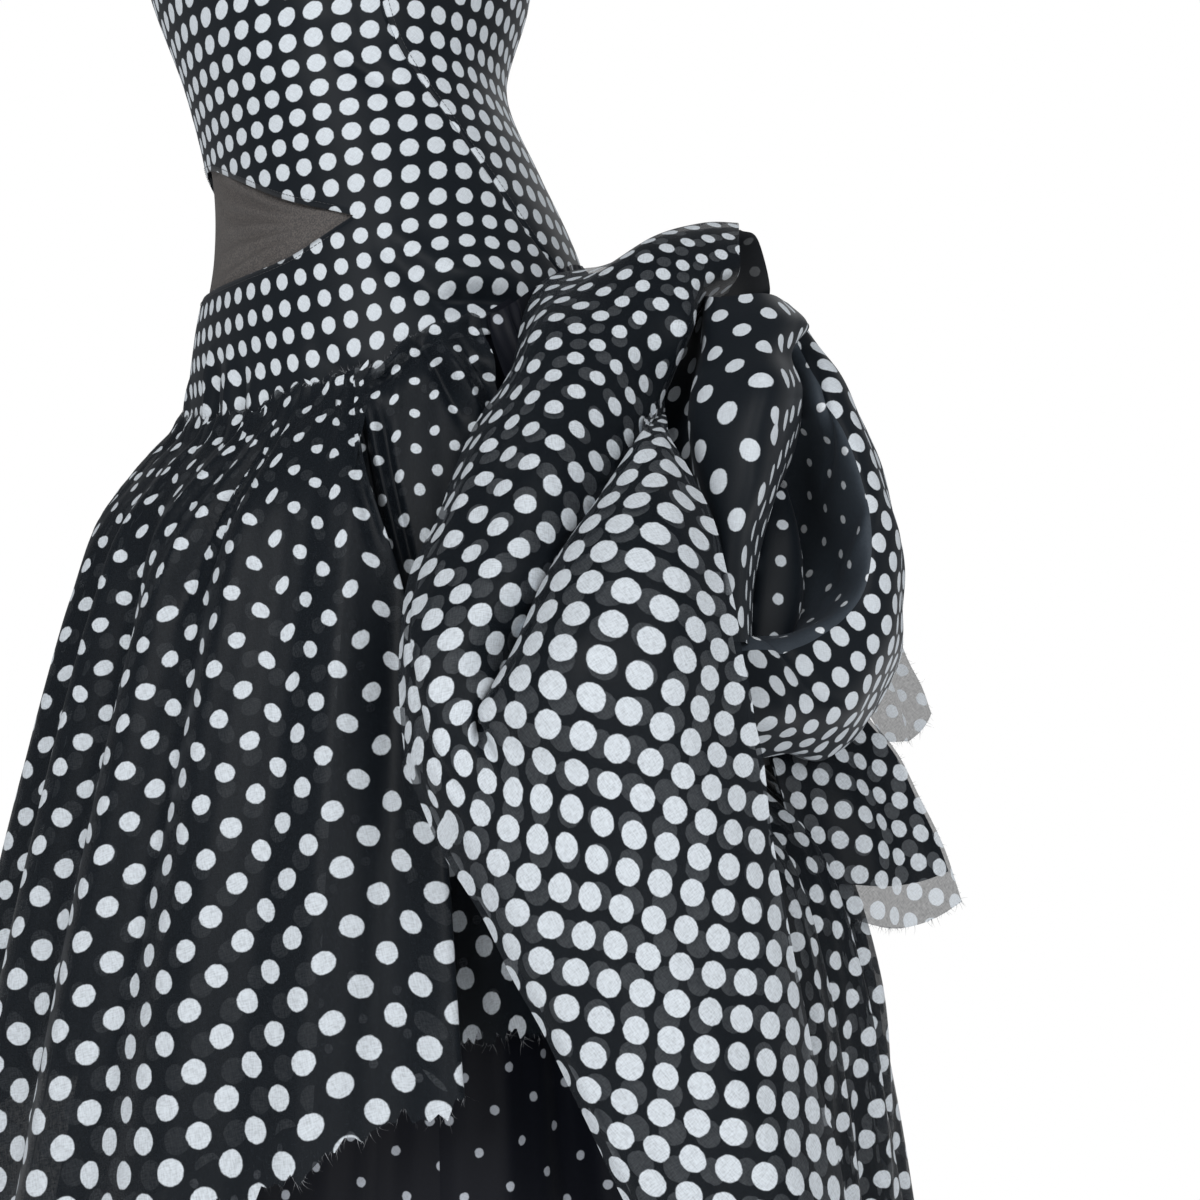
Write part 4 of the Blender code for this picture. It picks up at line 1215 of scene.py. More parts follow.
# ---- zip
def block(name: str, ring: Array, stations: Array, material: bpy.types.Material) -> Piece:
    """A closed block: a ring of outline points carried through stations and shrunk to its ends.

    Args:
        name: Piece name.
        ring: Outline across the block, in world units about its middle line.
        stations: One row a station: place along the block's axis, three numbers, and the ring's scale.
        material: What it is made of.

    Returns:
        The piece.
    """
    closed = np.concatenate((ring, ring[:1]))
    points = stations[:, None, :3] + stations[:, None, 3:] * closed[None]
    return put_mesh(name, points, grid_faces(len(stations) - 1, len(ring)), material)


@dataclass
class Zip:
    """Centre-back zip: woven tape, small teeth, slider and pull tab.

    Attributes:
        wardrobe: Where materials come from.
        pitch: Distance between teeth of one side.
        slider_height: Height of the slider's middle, and of the axis on which the tab swings.
        axis_stand: Way from the cloth out to that axis.
    """

    wardrobe: Wardrobe
    pitch: float = 0.0016
    slider_height: float = 0.143
    axis_stand: float = 0.0048

    def frame_at(self, height: Array) -> tuple[Array, Array, Array]:
        """Places on the centre-back line, with its directions out and up."""
        here = on_figure(180.0 + 0 * height, height)
        out = out_of_figure(180.0 + 0 * height, height)
        up = unit(on_figure(180.0 + 0 * height, height + 0.002) - here)
        return here, out, up

    def tape(self) -> None:
        """Woven tape behind the two back panels."""
        turns = np.linspace(173, 187, 15)
        upper, lower = panel_heights(np.full(15, 180.0), 8, 5)
        heights = np.linspace(upper[0, 0], lower[1, 0], 121)[:, None] + 0 * turns
        points = on_figure(turns, heights, -CLOTH - TAPE_GAP)
        Sheet("zip_tape_cloth", points, TAPE, Hold.STRETCHED, "zip_tape", ("zip_tape",),
              rests_on=("bodice_back_left",), wall=0.0004, trims=[self.teeth()]).put(self.wardrobe)

    def teeth(self) -> Piece:
        """Two rows of small teeth: six-sided pegs, alternately from the left and the right."""
        heights = np.arange(-0.120, 0.128, self.pitch / 2)
        here, out, up = self.frame_at(heights)
        side = np.where(np.arange(len(heights)) % 2 == 0, 1.0, -1.0)[:, None] * np.array((1.0, 0.0, 0.0))
        middle = here - (CLOTH + 0.0002) * out
        reach = np.array((0.0016, 0.0014, -0.0002, -0.0004))[None, :, None]
        size = np.array((0.15, 1.0, 1.0, 0.15))[None, :, None, None]
        centre = middle[:, None] + reach * side[:, None]
        angle = np.linspace(0, 2 * np.pi, 7)
        ring = (0.0004 * np.cos(angle)[:, None] * out[:, None, None]
                + 0.0003 * np.sin(angle)[:, None] * up[:, None, None])
        points = centre[:, :, None] + size * ring
        return put_mesh("zip_teeth", points, repeated_faces(len(heights), 3, 6), self.wardrobe.get(METAL))

    def body(self, name: str, centre: Array, up: Array, size: Place, node: str | None,
             rides: str = "root") -> None:
        """A rounded metal body on the zip line.

        Its outline is a squared oval across and out, carried up through
        seven stations whose scale drops at both ends.

        Args:
            name: Piece name.
            centre: Its middle.
            up: Direction of its length.
            size: Width, depth and length.
            node: CAD node that it replaces, if any.
            rides: Body that carries it.
        """
        out = np.cross(up, (1.0, 0.0, 0.0))
        angle = np.linspace(0, 2 * np.pi, 20, endpoint=False)
        oval = np.stack((np.cos(angle), np.sin(angle)))
        square = np.sign(oval) * np.abs(oval) ** 0.6
        ring = (square[0][:, None] * size[0] / 2 * np.array((1.0, 0.0, 0.0))
                + square[1][:, None] * size[1] / 2 * out)
        along = np.array((-0.5, -0.49, -0.42, 0.0, 0.42, 0.49, 0.5))[::-1, None]
        scale = np.array((0.02, 0.7, 0.97, 1.0, 0.97, 0.7, 0.02))[:, None]
        stations = np.concatenate((centre + along * size[2] * up, scale), axis=1)
        ride(block(name, ring, stations, self.wardrobe.get(METAL)),
             (node,) if node else (), rides)

    def build(self) -> None:
        """Make the zip: tape, teeth, slider with two ears, and the tab that swings between them."""
        self.tape()
        here, out, up = (value[0] for value in self.frame_at(np.array([self.slider_height])))
        axis = np.array((0.0, here[1] + self.axis_stand, self.slider_height))
        self.body("zip_slider_body", here + (0.0015 + ZIP_GAP) * out, up, (0.0065, 0.0030, 0.0095),
                  "zip_slider")
        for side, letter in ((-1, "right"), (1, "left")):
            self.body(f"zip_slider_ear_{letter}", axis + np.array((side * 0.00295, -0.0008, 0.0)), up,
                      (0.0006, 0.0028, 0.0024), None)
        level = np.array((0.0, 0.0, 1.0))
        self.body("zip_pull_tab", axis + (0.0007 - 0.0070) * level, level, (0.0050, 0.0012, 0.0140),
                  "zip_pull", "zip_pull_tab")


# ---- skirts
UNDERSKIRT_WAVES = 15
UNDERSKIRT_WAVE_DEPTH = 0.012
OVERSKIRT_WAVES = 24
OVERSKIRT_WAVE_DEPTH = 0.016
NOMINAL_FOLD = 82.0
PLEAT_BACK = 4.5          # turn by which the left pleat goes back under itself
SKIRT_MAP = 0.20          # metres across the skirts' map for each radian
# Creases in the overskirt: across is the turn times SKIRT_MAP, down is the height.
OVERSKIRT_CREASES = (
    Crease((0.205, -0.214), (0.172, -0.322), 0.0036, -0.0070, 0.001),
    Crease((0.196, -0.212), (0.160, -0.318), 0.0050, 0.0050, 0.002),
    Crease((0.214, -0.212), (0.184, -0.306), 0.0030, -0.0060, -0.002),
    Crease((0.209, -0.214), (0.178, -0.300), 0.0030, 0.0030, -0.001),
    Crease((0.180, -0.216), (0.146, -0.300), 0.0050, -0.0036, 0.002),
    Crease((0.170, -0.216), (0.130, -0.330), 0.0070, 0.0036, 0.003),
    Crease((0.222, -0.206), (0.206, -0.420), 0.0100, 0.0035, 0.006),
    Crease((0.200, -0.300), (0.186, -0.560), 0.0080, -0.0030, 0.006),
    Crease((0.262, -0.196), (0.286, -0.285), 0.0022, -0.0060, 0.001),
    Crease((0.270, -0.194), (0.296, -0.290), 0.0032, 0.0045, 0.001),
    Crease((0.278, -0.198), (0.304, -0.300), 0.0024, -0.0050, 0.001),
    Crease((0.264, -0.200), (0.306, -0.176), 0.0030, -0.0040, 0.003),
    Crease((0.262, -0.194), (0.304, -0.170), 0.0030, 0.0050, 0.003),
    Crease((0.318, -0.166), (0.348, -0.212), 0.0050, 0.0080, -0.002),
    Crease((0.308, -0.168), (0.336, -0.216), 0.0036, -0.0060, -0.002),
    Crease((0.340, -0.166), (0.362, -0.196), 0.0040, -0.0070, 0.002),
)


class DotSize(NamedTuple):
    """Diameter of the printed dots at a height."""

    height: float
    diameter: float


OVERSKIRT_DOTS = (DotSize(-0.20, 0.0060), DotSize(-0.285, 0.0076), DotSize(-0.360, 0.0089),
                  DotSize(-0.44, 0.0102), DotSize(-0.51, 0.0112), DotSize(-0.58, 0.0126))
PRINT_GROWTH = 0.62


@dataclass(frozen=True)
class Puckers:
    """Small uneven gathers that start at a sewn edge and die away downwards.

    Attributes:
        first: Turn of the first.
        last: Turn of the last.
        count: How many.
        rise: Height of the highest.
        width: Half the width of the widest.
        length: How far down the longest goes.
        seed: Draw of their sizes.
    """

    first: float
    last: float
    count: int
    rise: float = 0.0038
    width: float = 0.0050
    length: float = 0.085
    seed: int = 5

    def lift(self, turn: Array, drop: Array) -> Array:
        """Sum of the gathers: bell curves across that fade with the drop below the seam."""
        draw = np.random.default_rng(self.seed)
        total = np.zeros(np.broadcast_shapes(turn.shape, drop.shape))
        for number in range(self.count):
            middle = self.first + (self.last - self.first) * (number + draw.uniform(0.1, 0.9)) / self.count
            rise = self.rise * draw.uniform(0.4, 1.0) * (1 if number % 3 else -0.6)
            width = self.width * draw.uniform(0.45, 1.0)
            length = self.length * draw.uniform(0.2, 1.0) ** 1.3
            aside = np.radians(turn - middle - draw.normal() * 30 * drop) * 0.17
            total += rise * np.exp(-(aside / (width * (1 + 3 * np.maximum(drop, 0)))) ** 2
                                   - (np.maximum(drop, 0) / length) ** 1.5)
        return total * ease((drop + 0.012) / 0.010)


def border_print(cut: Array) -> tuple[Array, Array]:
    """Place a cut on a print that grows towards the hem.

    The growth is a complex logarithm, which keeps dots round while rows fan
    out from the waist.

    Returns:
        Flat coordinates on the print, and the print's scale at each point.
    """
    place = 1 + PRINT_GROWTH * (-cut[..., 1] + 1j * cut[..., 0])
    printed = np.log(place) / PRINT_GROWTH
    return np.stack((printed.imag, -printed.real), axis=-1), np.abs(place)


def gathers(turn: Array, count: int, shift: float) -> Array:
    """Uneven waves round a skirt, from 0 in a trough to 1 on a crest."""
    angle = np.radians(turn)
    phase = count * angle + 0.9 * np.sin(3 * angle + shift) + 0.6 * np.sin(5 * angle + 2 * shift)
    return 0.5 + 0.5 * np.cos(phase)


@dataclass
class Skirts:
    """The near-black underskirt and the gathered sheer overskirt in two layers.

    Attributes:
        wardrobe: Where materials come from.
        rows: Cells down a skirt.
        columns: Cells across one part.
    """

    wardrobe: Wardrobe
    rows: int = 84
    columns: int = 230

    def under(self, turns: Array) -> Array:
        """Points of the underskirt: its waves stand inwards from its flare."""
        start = edge_height(YOKE_FOOT, turns) + SEAM_ALLOWANCE
        heights = start + (UNDERSKIRT_HEM - start) * shares(self.rows + 1, 1)[0] ** 1.3
        drop = edge_height(YOKE_FOOT, turns) - heights
        flare = read(FLARE, "drop", "under", drop)
        depth = UNDERSKIRT_WAVE_DEPTH * ease(drop / 0.3)
        wave = depth * (gathers(turns, UNDERSKIRT_WAVES, 0.7) - 1)
        small = 0.0015 * np.sin(np.radians(turns) * 61 + 9 * drop) * ease(drop / 0.1)
        return on_figure(turns, heights, flare + wave + small - CLOTH - BEHIND_GAP)

    def over(self, turns: Array, puckers: Puckers | None, deeper: float,
             pleated: bool) -> tuple[Array, Array]:
        """Points of an overskirt layer and the heights of its rows.

        The nominal turn of each column is stretched so that one column runs
        down the left fold. Where pleated, the cloth rolls over the fold's
        edge, goes back under itself and comes out again close on the
        underskirt.

        Args:
            turns: Nominal turns of the columns.
            puckers: The small gathers at the yoke, none for the plain form that carries the print.
            deeper: How far the layer lies inside the outer one.
            pleated: Whether it goes round the left fold.

        Returns:
            Points and heights.
        """
        def place(fold: Array) -> Array:
            before = SPLIT_TURN + (turns - SPLIT_TURN) * (fold - SPLIT_TURN) / (NOMINAL_FOLD - SPLIT_TURN)
            rest = np.clip((turns - NOMINAL_FOLD - 2) / (OVERSKIRT_END - NOMINAL_FOLD - 2), 0, 1)
            after = fold - PLEAT_BACK + (OVERSKIRT_END - fold + PLEAT_BACK) * rest
            over_edge = np.clip((turns - NOMINAL_FOLD) / 2, 0, 1)
            rolling = fold + 0.9 * np.sin(np.pi * over_edge) - PLEAT_BACK * ease(over_edge)
            return np.where(turns <= NOMINAL_FOLD, before, np.where(over_edge < 1, rolling, after))

        top_turn = place(74.5) if pleated else turns
        foot = edge_height(YOKE_FOOT, top_turn)
        hem = read(OVERSKIRT_HEM, "turn", "height", turns) + 0.006 * np.sin(np.radians(turns) * 9)
        start = foot + RAW_EDGE_STAND + 0.0014 * sum(np.sin(np.radians(turns) * n) for n in (19, 43, 71))
        heights = start + (hem - start) * shares(self.rows + 1, 1)[0] ** 1.7
        if puckers is not None:
            heights[-1] += sum(0.0020 * np.sin(np.radians(turns) * n) for n in (67, 151, 263))
        drop = foot - heights
        turn = place(read(OVERSKIRT_FOLD, "height", "turn", heights)) if pleated else turns + 0 * heights
        over, under = read(FLARE, "drop", "over", drop), read(FLARE, "drop", "under", drop)
        calm = 1.0 - 0.55 * np.exp(-((turn - 64) / 18) ** 2)
        wave = calm * OVERSKIRT_WAVE_DEPTH * ease((drop + 0.004) / 0.12) * (
            gathers(turn, OVERSKIRT_WAVES, 1.9) - 0.6)
        small = 0.0004 * np.sin(np.radians(turn) * 83 + 14 * drop) * ease((drop + 0.01) / 0.05)
        flare = over + wave + small
        if pleated:
            behind = ease((turns - NOMINAL_FOLD) / 2)
            flare = flare + (under + 0.007 - flare) * behind * ease(drop / 0.03)
            flare = flare + crease_rise(np.radians(turn) * SKIRT_MAP, heights, OVERSKIRT_CREASES)
        if puckers is None:
            return on_figure(turn, heights, over), heights
        hugging = puckers.lift(turn, drop) - deeper * ease((drop + 0.004) / 0.03)
        return on_figure(turn, heights, flare + hugging + CLOTH + LAYER_GAP), heights

    def hem_fray(self, name: str, points: Array, seed: int) -> list[Piece]:
        """Frayed threads along the hem and along the raw edge on the yoke."""
        return [Fray(seed=seed).put(f"{name}_fray_hem", points[-1], points[-2], self.wardrobe),
                Fray(every=0.0016, length=0.004, seed=seed + 1).put(f"{name}_fray_top", points[0],
                                                                  points[1], self.wardrobe)]

    def build(self) -> None:
        """Make both skirts, each in a front and a back part that meet at the sides."""
        for name, start in (("front", -90.0), ("back", 90.0)):
            turns = np.linspace(start, start + 180, 131)
            Sheet(f"underskirt_{name}_cloth", self.under(turns), UNDERSKIRT_CLOTH, Hold.GATHERED,
                  "underskirt_organza", (f"underskirt_{name}",), spots=0.0047, bias=4.0).put(self.wardrobe)
        front = np.concatenate((np.linspace(SPLIT_TURN, NOMINAL_FOLD, self.columns, endpoint=False),
                                np.linspace(NOMINAL_FOLD, NOMINAL_FOLD + 2, 10, endpoint=False),
                                np.linspace(NOMINAL_FOLD + 2, OVERSKIRT_END, 56)))
        back = np.linspace(OVERSKIRT_START - 360, SPLIT_TURN, 140)
        parts = (("front", front, True, Puckers(-85, 104, 46), 0.86),
                 ("back", back, False, Puckers(-190, -85, 26, seed=8), 0.5))
        for name, turns, pleated, puckers, anchor in parts:
            points, heights = self.over(turns, puckers, 0.0, pleated)
            plain, even = self.over(turns, None, 0.0, pleated)
            flat = lay_flat(plain, anchor)
            longer = (heights[-1] - heights[-2]) / (even[-1] - even[-2])
            flat[-1] = flat[-2] + (flat[-1] - flat[-2]) * longer[:, None]
            printed, scale = border_print(flat)
            Sheet(f"overskirt_{name}_cloth", points, OVERSKIRT_CLOTH, Hold.GATHERED, "sheer_dotted_organza",
                  (f"overskirt_{name}",), rests_on=(f"underskirt_{name}_cloth", "bodice_front"), cut=printed,
                  spots=read(OVERSKIRT_DOTS, "height", "diameter", heights) / scale, bias=45.0, anchor=anchor,
                  trims=self.hem_fray(f"overskirt_{name}", points, 11)).put(self.wardrobe)
            points, heights = self.over(turns[::2], replace(puckers, seed=21), 0.0050, False)
            if pleated:
                kept = turns[::2] < NOMINAL_FOLD - 3
                points, heights = points[:, kept], heights[:, kept]
            plain = self.over(turns[::2], None, 0.0, False)[0][:, :points.shape[1]]
            printed, scale = border_print(lay_flat(plain, anchor))
            Sheet(f"overskirt_{name}_under_layer", points, OVERSKIRT_LINING, Hold.GATHERED,
                  "sheer_dotted_organza", rests_on=(f"underskirt_{name}_cloth",), cut=printed,
                  spots=read(OVERSKIRT_DOTS, "height", "diameter", heights) * 1.05 / scale, bias=37.0,
                  shift=(0.011, 0.004)).put(self.wardrobe)


# ---- hip drape
class Fold(NamedTuple):
    """A section of the fall: its near edge, its belly, the belly's peak and its roundness."""

    near: Place
    belly: float
    peak: float
    round: float


class Seam(NamedTuple):
    """A place on the drape's base where a fold is sewn down."""

    turn: float
    height: float


class Roll(NamedTuple):
    """A section across roll and flap, in the hip frame, in millimetres.

    The cloth rises from the edge over the roll's crest, dives into the valley
    behind it and comes back out over the flap's left fold.
    """

    edge: Place
    step: Place
    crest: Place
    dive: Place
    valley: Place
    lip: Place
    middle: Place
    side: Place
    right: Place


class Mid(NamedTuple):
    """A section across the mid fold, in the hip frame, in millimetres."""

    deep: Place
    rise: Place
    crest: Place
    over: Place
    fall: Place
    back: Place


class Lip(NamedTuple):
    """A section from the pouf's bowl out over its lip, in the hip frame, in millimetres."""

    wall: Place
    deep: Place
    slope: Place
    lip: Place
    outer: Place
    edge: Place
    back: Place


BASE_START, BASE_END = 106.0, 168.5
BASE_HEM = -0.460
BASE_STAND = 0.010
BASE_WAVES, BASE_WAVE_DEPTH = 20, 0.004
FALL_STAND = 0.0021
FALL = (Fold((0.224, 0.120, -0.402), 0.042, 0.50, 0.7), Fold((0.282, 0.130, -0.440), 0.068, 0.56, 0.7),
        Fold((0.293, 0.136, -0.500), 0.079, 0.56, 0.7), Fold((0.296, 0.144, -0.570), 0.079, 0.56, 0.7),
        Fold((0.297, 0.152, -0.655), 0.077, 0.56, 0.7))
FALL_SEAM = (Seam(167, -0.402), Seam(168, -0.445), Seam(168, -0.510), Seam(168, -0.575), Seam(168, -0.650))
ROLL_AND_FLAP = (
    Roll((234, 76, -98), (234, 104, -96), (232, 138, -114), (232, 142, -128), (228, 120, -134),
         (228, 104, -134), (224, 100, -134), (224, 96, -134), (220, 90, -134)),
    Roll((210, 72, -104), (212, 130, -102), (212, 158, -124), (212, 166, -140), (214, 140, -144),
         (212, 124, -144), (210, 120, -144), (208, 116, -144), (208, 110, -144)),
    Roll((180, 84, -114), (184, 151, -112), (190, 188, -146), (202, 192, -164), (204, 156, -164),
         (202, 148, -168), (200, 144, -168), (200, 142, -168), (198, 140, -168)),
    Roll((146, 108, -122), (152, 180, -144), (172, 216, -180), (190, 196, -194), (192, 172, -196),
         (188, 170, -198), (188, 168, -200), (190, 166, -200), (192, 164, -200)),
    Roll((120, 140, -144), (128, 209, -172), (152, 246, -208), (176, 226, -220), (180, 190, -220),
         (176, 252, -224), (180, 262, -228), (186, 260, -228), (192, 246, -228)),
    Roll((108, 176, -188), (116, 235, -208), (138, 272, -238), (162, 252, -248), (168, 204, -248),
         (160, 280, -252), (176, 302, -256), (188, 300, -256), (204, 272, -256)),
    Roll((90, 210, -224), (100, 261, -244), (124, 292, -274), (146, 272, -276), (152, 222, -276),
         (146, 300, -276), (168, 326, -280), (188, 322, -280), (210, 288, -276)),
    Roll((78, 240, -266), (86, 281, -280), (114, 306, -300), (132, 286, -304), (136, 236, -304),
         (132, 314, -302), (160, 340, -306), (188, 334, -306), (216, 300, -304)),
    Roll((66, 262, -300), (74, 296, -312), (100, 316, -324), (118, 296, -328), (124, 256, -330),
         (120, 324, -328), (152, 350, -328), (186, 342, -330), (220, 306, -328)),
    Roll((64, 276, -328), (72, 306, -336), (92, 320, -346), (108, 314, -344), (112, 284, -348),
         (112, 330, -344), (148, 352, -348), (184, 344, -348), (224, 308, -346)),
    Roll((64, 286, -352), (72, 302, -360), (88, 322, -362), (100, 322, -360), (104, 312, -360),
         (108, 330, -356), (144, 350, -364), (184, 344, -366), (226, 308, -360)),
    Roll((68, 294, -376), (76, 308, -380), (90, 322, -380), (102, 326, -380), (112, 328, -380),
         (124, 334, -378), (156, 346, -380), (192, 340, -382), (230, 308, -378)),
    Roll((78, 300, -402), (88, 312, -402), (100, 324, -402), (114, 330, -402), (126, 334, -402),
         (138, 338, -400), (166, 344, -404), (200, 336, -404), (234, 308, -404)),
    Roll((116, 316, -466), (124, 328, -464), (136, 336, -464), (148, 340, -464), (158, 344, -464),
         (170, 344, -464), (192, 344, -464), (220, 332, -468), (246, 306, -468)),
    Roll((152, 334, -532), (160, 344, -532), (172, 348, -532), (180, 352, -532), (192, 352, -532),
         (200, 352, -532), (220, 348, -534), (240, 332, -536), (260, 310, -540)),
    Roll((188, 348, -606), (196, 356, -604), (204, 360, -604), (214, 360, -604), (222, 360, -604),
         (232, 358, -604), (248, 352, -608), (264, 338, -612), (278, 314, -620)),
    Roll((204, 352, -648), (212, 358, -644), (220, 362, -644), (230, 362, -646), (238, 360, -646),
         (246, 360, -648), (260, 352, -652), (274, 338, -656), (288, 316, -664)),
)
MID_FOLD = (
    Mid((208, 100, -136), (212, 130, -140), (220, 168, -146), (236, 172, -146),
        (256, 142, -146), (266, 104, -147)),
    Mid((202, 106, -148), (210, 140, -154), (218, 184, -160), (238, 190, -160),
        (262, 158, -158), (271, 128, -157)),
    Mid((196, 112, -162), (208, 150, -170), (216, 198, -178), (234, 208, -178),
        (254, 174, -176), (259, 122, -172)),
    Mid((188, 130, -188), (204, 160, -194), (210, 214, -200), (232, 230, -200),
        (258, 182, -196), (268, 122, -192)),
    Mid((184, 140, -216), (202, 170, -220), (208, 226, -224), (228, 238, -226),
        (252, 188, -222), (264, 122, -220)),
    Mid((188, 150, -244), (204, 182, -248), (212, 234, -250), (228, 240, -250),
        (244, 194, -248), (256, 124, -244)),
    Mid((200, 160, -272), (212, 192, -274), (216, 238, -276), (224, 238, -274),
        (236, 198, -272), (246, 132, -272)),
    Mid((208, 170, -300), (216, 204, -300), (218, 236, -300), (224, 234, -300),
        (232, 204, -300), (240, 142, -302)),
    Mid((216, 180, -328), (220, 206, -328), (222, 228, -326), (226, 226, -326),
        (232, 204, -328), (240, 150, -328)),
)
POUF = (
    Lip((236, 60, -176), (250, 100, -168), (256, 112, -162), (262, 116, -157),
        (268, 112, -154), (272, 100, -152), (276, 70, -152)),
    Lip((236, 71, -215), (262, 114, -210), (270, 132, -206), (278, 146, -200),
        (286, 142, -196), (296, 108, -192), (302, 50, -192)),
    Lip((234, 61, -235), (264, 94, -228), (278, 124, -224), (288, 150, -220),
        (296, 144, -218), (308, 104, -218), (316, 36, -220)),
    Lip((232, 56, -258), (266, 84, -254), (284, 120, -252), (296, 154, -246),
        (308, 146, -248), (318, 104, -248), (328, 26, -248)),
    Lip((230, 58, -282), (268, 86, -280), (288, 120, -276), (300, 156, -272),
        (312, 148, -276), (326, 100, -276), (334, 18, -278)),
    Lip((230, 71, -303), (266, 98, -300), (286, 124, -298), (296, 160, -298),
        (310, 152, -304), (328, 98, -308), (336, 16, -310)),
    Lip((228, 96, -316), (262, 116, -316), (276, 138, -312), (284, 168, -314),
        (300, 164, -328), (324, 104, -338), (332, 24, -344)),
    Lip((226, 95, -322), (256, 116, -320), (264, 148, -320), (268, 180, -324),
        (280, 184, -348), (304, 130, -366), (308, 50, -380)),
    Lip((224, 125, -323), (246, 140, -324), (248, 166, -324), (250, 194, -330),
        (258, 204, -354), (276, 158, -384), (280, 86, -396)),
    Lip((222, 140, -322), (236, 160, -324), (234, 186, -324), (232, 208, -330),
        (240, 222, -352), (250, 192, -380), (254, 120, -388)),
    Lip((212, 150, -320), (220, 172, -323), (217, 198, -324), (213, 216, -332),
        (219, 230, -352), (228, 204, -380), (232, 130, -390)),
)
# The column where the bowl's sheet meets the rim's, out of 110.
POUF_LIP = 46


class Strip(NamedTuple):
    """A row of a small piece, in the hip frame, in millimetres."""

    left: Place
    inner: Place
    outer: Place
    right: Place


LOOP_BACK = (
    Strip((236, 92, -96), (250, 56, -96), (257, 50, -122), (244, 84, -142)),
    Strip((218, 94, -102), (230, 56, -104), (238, 50, -130), (226, 82, -148)),
    Strip((190, 100, -114), (200, 66, -116), (208, 62, -140), (200, 88, -162)),
)
BOWL_FOLD = (
    Strip((247, 116, -241), (250, 134, -243), (256, 136, -245), (260, 112, -243)),
    Strip((241, 118, -262), (246, 150, -264), (258, 150, -266), (265, 114, -264)),
    Strip((236, 122, -284), (243, 158, -286), (258, 156, -288), (269, 118, -286)),
    Strip((233, 130, -305), (241, 164, -307), (256, 161, -309), (268, 126, -308)),
    Strip((231, 140, -322), (239, 166, -324), (252, 164, -326), (261, 140, -324)),
)
TAIL_UPPER = (
    Strip((297, 60, -329), (311, 50, -329), (327, 35, -329), (337, 20, -325)),
    Strip((302, 66, -347), (316, 56, -348), (331, 40, -348), (342, 30, -344)),
    Strip((308, 70, -366), (323, 60, -366), (337, 45, -365), (349, 35, -359)),
    Strip((316, 74, -383), (329, 64, -388), (343, 50, -386), (354, 40, -373)),
)
TAIL_LOWER = (
    Strip((246, 128, -364), (281, 110, -370), (296, 100, -372), (309, 90, -372)),
    Strip((250, 136, -391), (289, 120, -396), (306, 108, -397), (324, 96, -392)),
    Strip((256, 142, -416), (298, 128, -419), (316, 115, -421), (335, 100, -416)),
    Strip((264, 148, -441), (307, 132, -442), (325, 120, -443), (347, 105, -441)),
    Strip((278, 152, -468), (313, 137, -483), (332, 125, -483), (358, 110, -473)),
)
# Creases pressed into the drape's sheets: across from the left and down from the top.
ROLL_CREASES = (
    Crease((0.010, 0.150), (0.060, 0.330), 0.005, -0.0012, 0.004),
    Crease((0.020, 0.230), (0.070, 0.390), 0.005, 0.0012, -0.003),
    Crease((0.004, 0.300), (0.080, 0.420), 0.004, -0.0020, 0.003),
    Crease((0.200, 0.330), (0.250, 0.800), 0.012, -0.0040, 0.006),
    Crease((0.250, 0.400), (0.280, 0.820), 0.010, 0.0040, 0.005),
    Crease((0.150, 0.420), (0.190, 0.800), 0.012, 0.0035, 0.006),
)
POUF_CREASES = (
    Crease((0.110, 0.020), (0.060, 0.110), 0.005, -0.0030, 0.003),
    Crease((0.120, 0.100), (0.060, 0.190), 0.006, 0.0030, -0.003),
    Crease((0.130, 0.220), (0.055, 0.300), 0.005, -0.0032, 0.003),
    Crease((0.090, 0.330), (0.040, 0.400), 0.005, -0.0030, 0.002),
)


def fold_surface(rows: Sequence[Fold], far: Array, across: int, down: int) -> Array:
    """A hanging sheet through its fold sections, from its near edge to its far one.

    Both edges are smooth curves through the sections. A section stands off
    the line between them, level with the floor, by its belly times a half
    sine whose peak is where the section says. Round sections crowd their
    points towards the edges.
    """
    stations, at = np.linspace(0, 1, len(rows)), np.linspace(0, 1, down + 1)
    near, belly, peak, roundness = (smooth(stations, column(rows, name), at) for name in Fold._fields)
    far = smooth(stations, far, at)
    share = shares(1, across + 1)[1]
    half_turn = (1 - np.cos(np.pi * share)) / 2
    along = share + (half_turn - share) * roundness[:, None]
    line = near[:, None, :] + (far - near)[:, None, :] * along[:, :, None]
    outward = np.cross(np.gradient((near + far) / 2, axis=0), far - near)
    outward[:, 2] = 0.0
    rise = belly[:, None] * np.sin(np.pi * share ** (np.log(0.5) / np.log(peak))[:, None])
    return line + rise[:, :, None] * unit(outward)[:, None, :]


def base_lift(turn: Array, height: Array) -> Array:
    """How far the drape's base stands off the figure."""
    drop = edge_height(YOKE_FOOT, turn) - height
    wave = BASE_WAVE_DEPTH * ease(drop / 0.08) * gathers(turn, BASE_WAVES, 0.3)
    return (read(FLARE, "drop", "under", drop) + BASE_STAND * ease((drop + 0.004) / 0.05) + wave
            + CLOTH + LAYER_GAP)


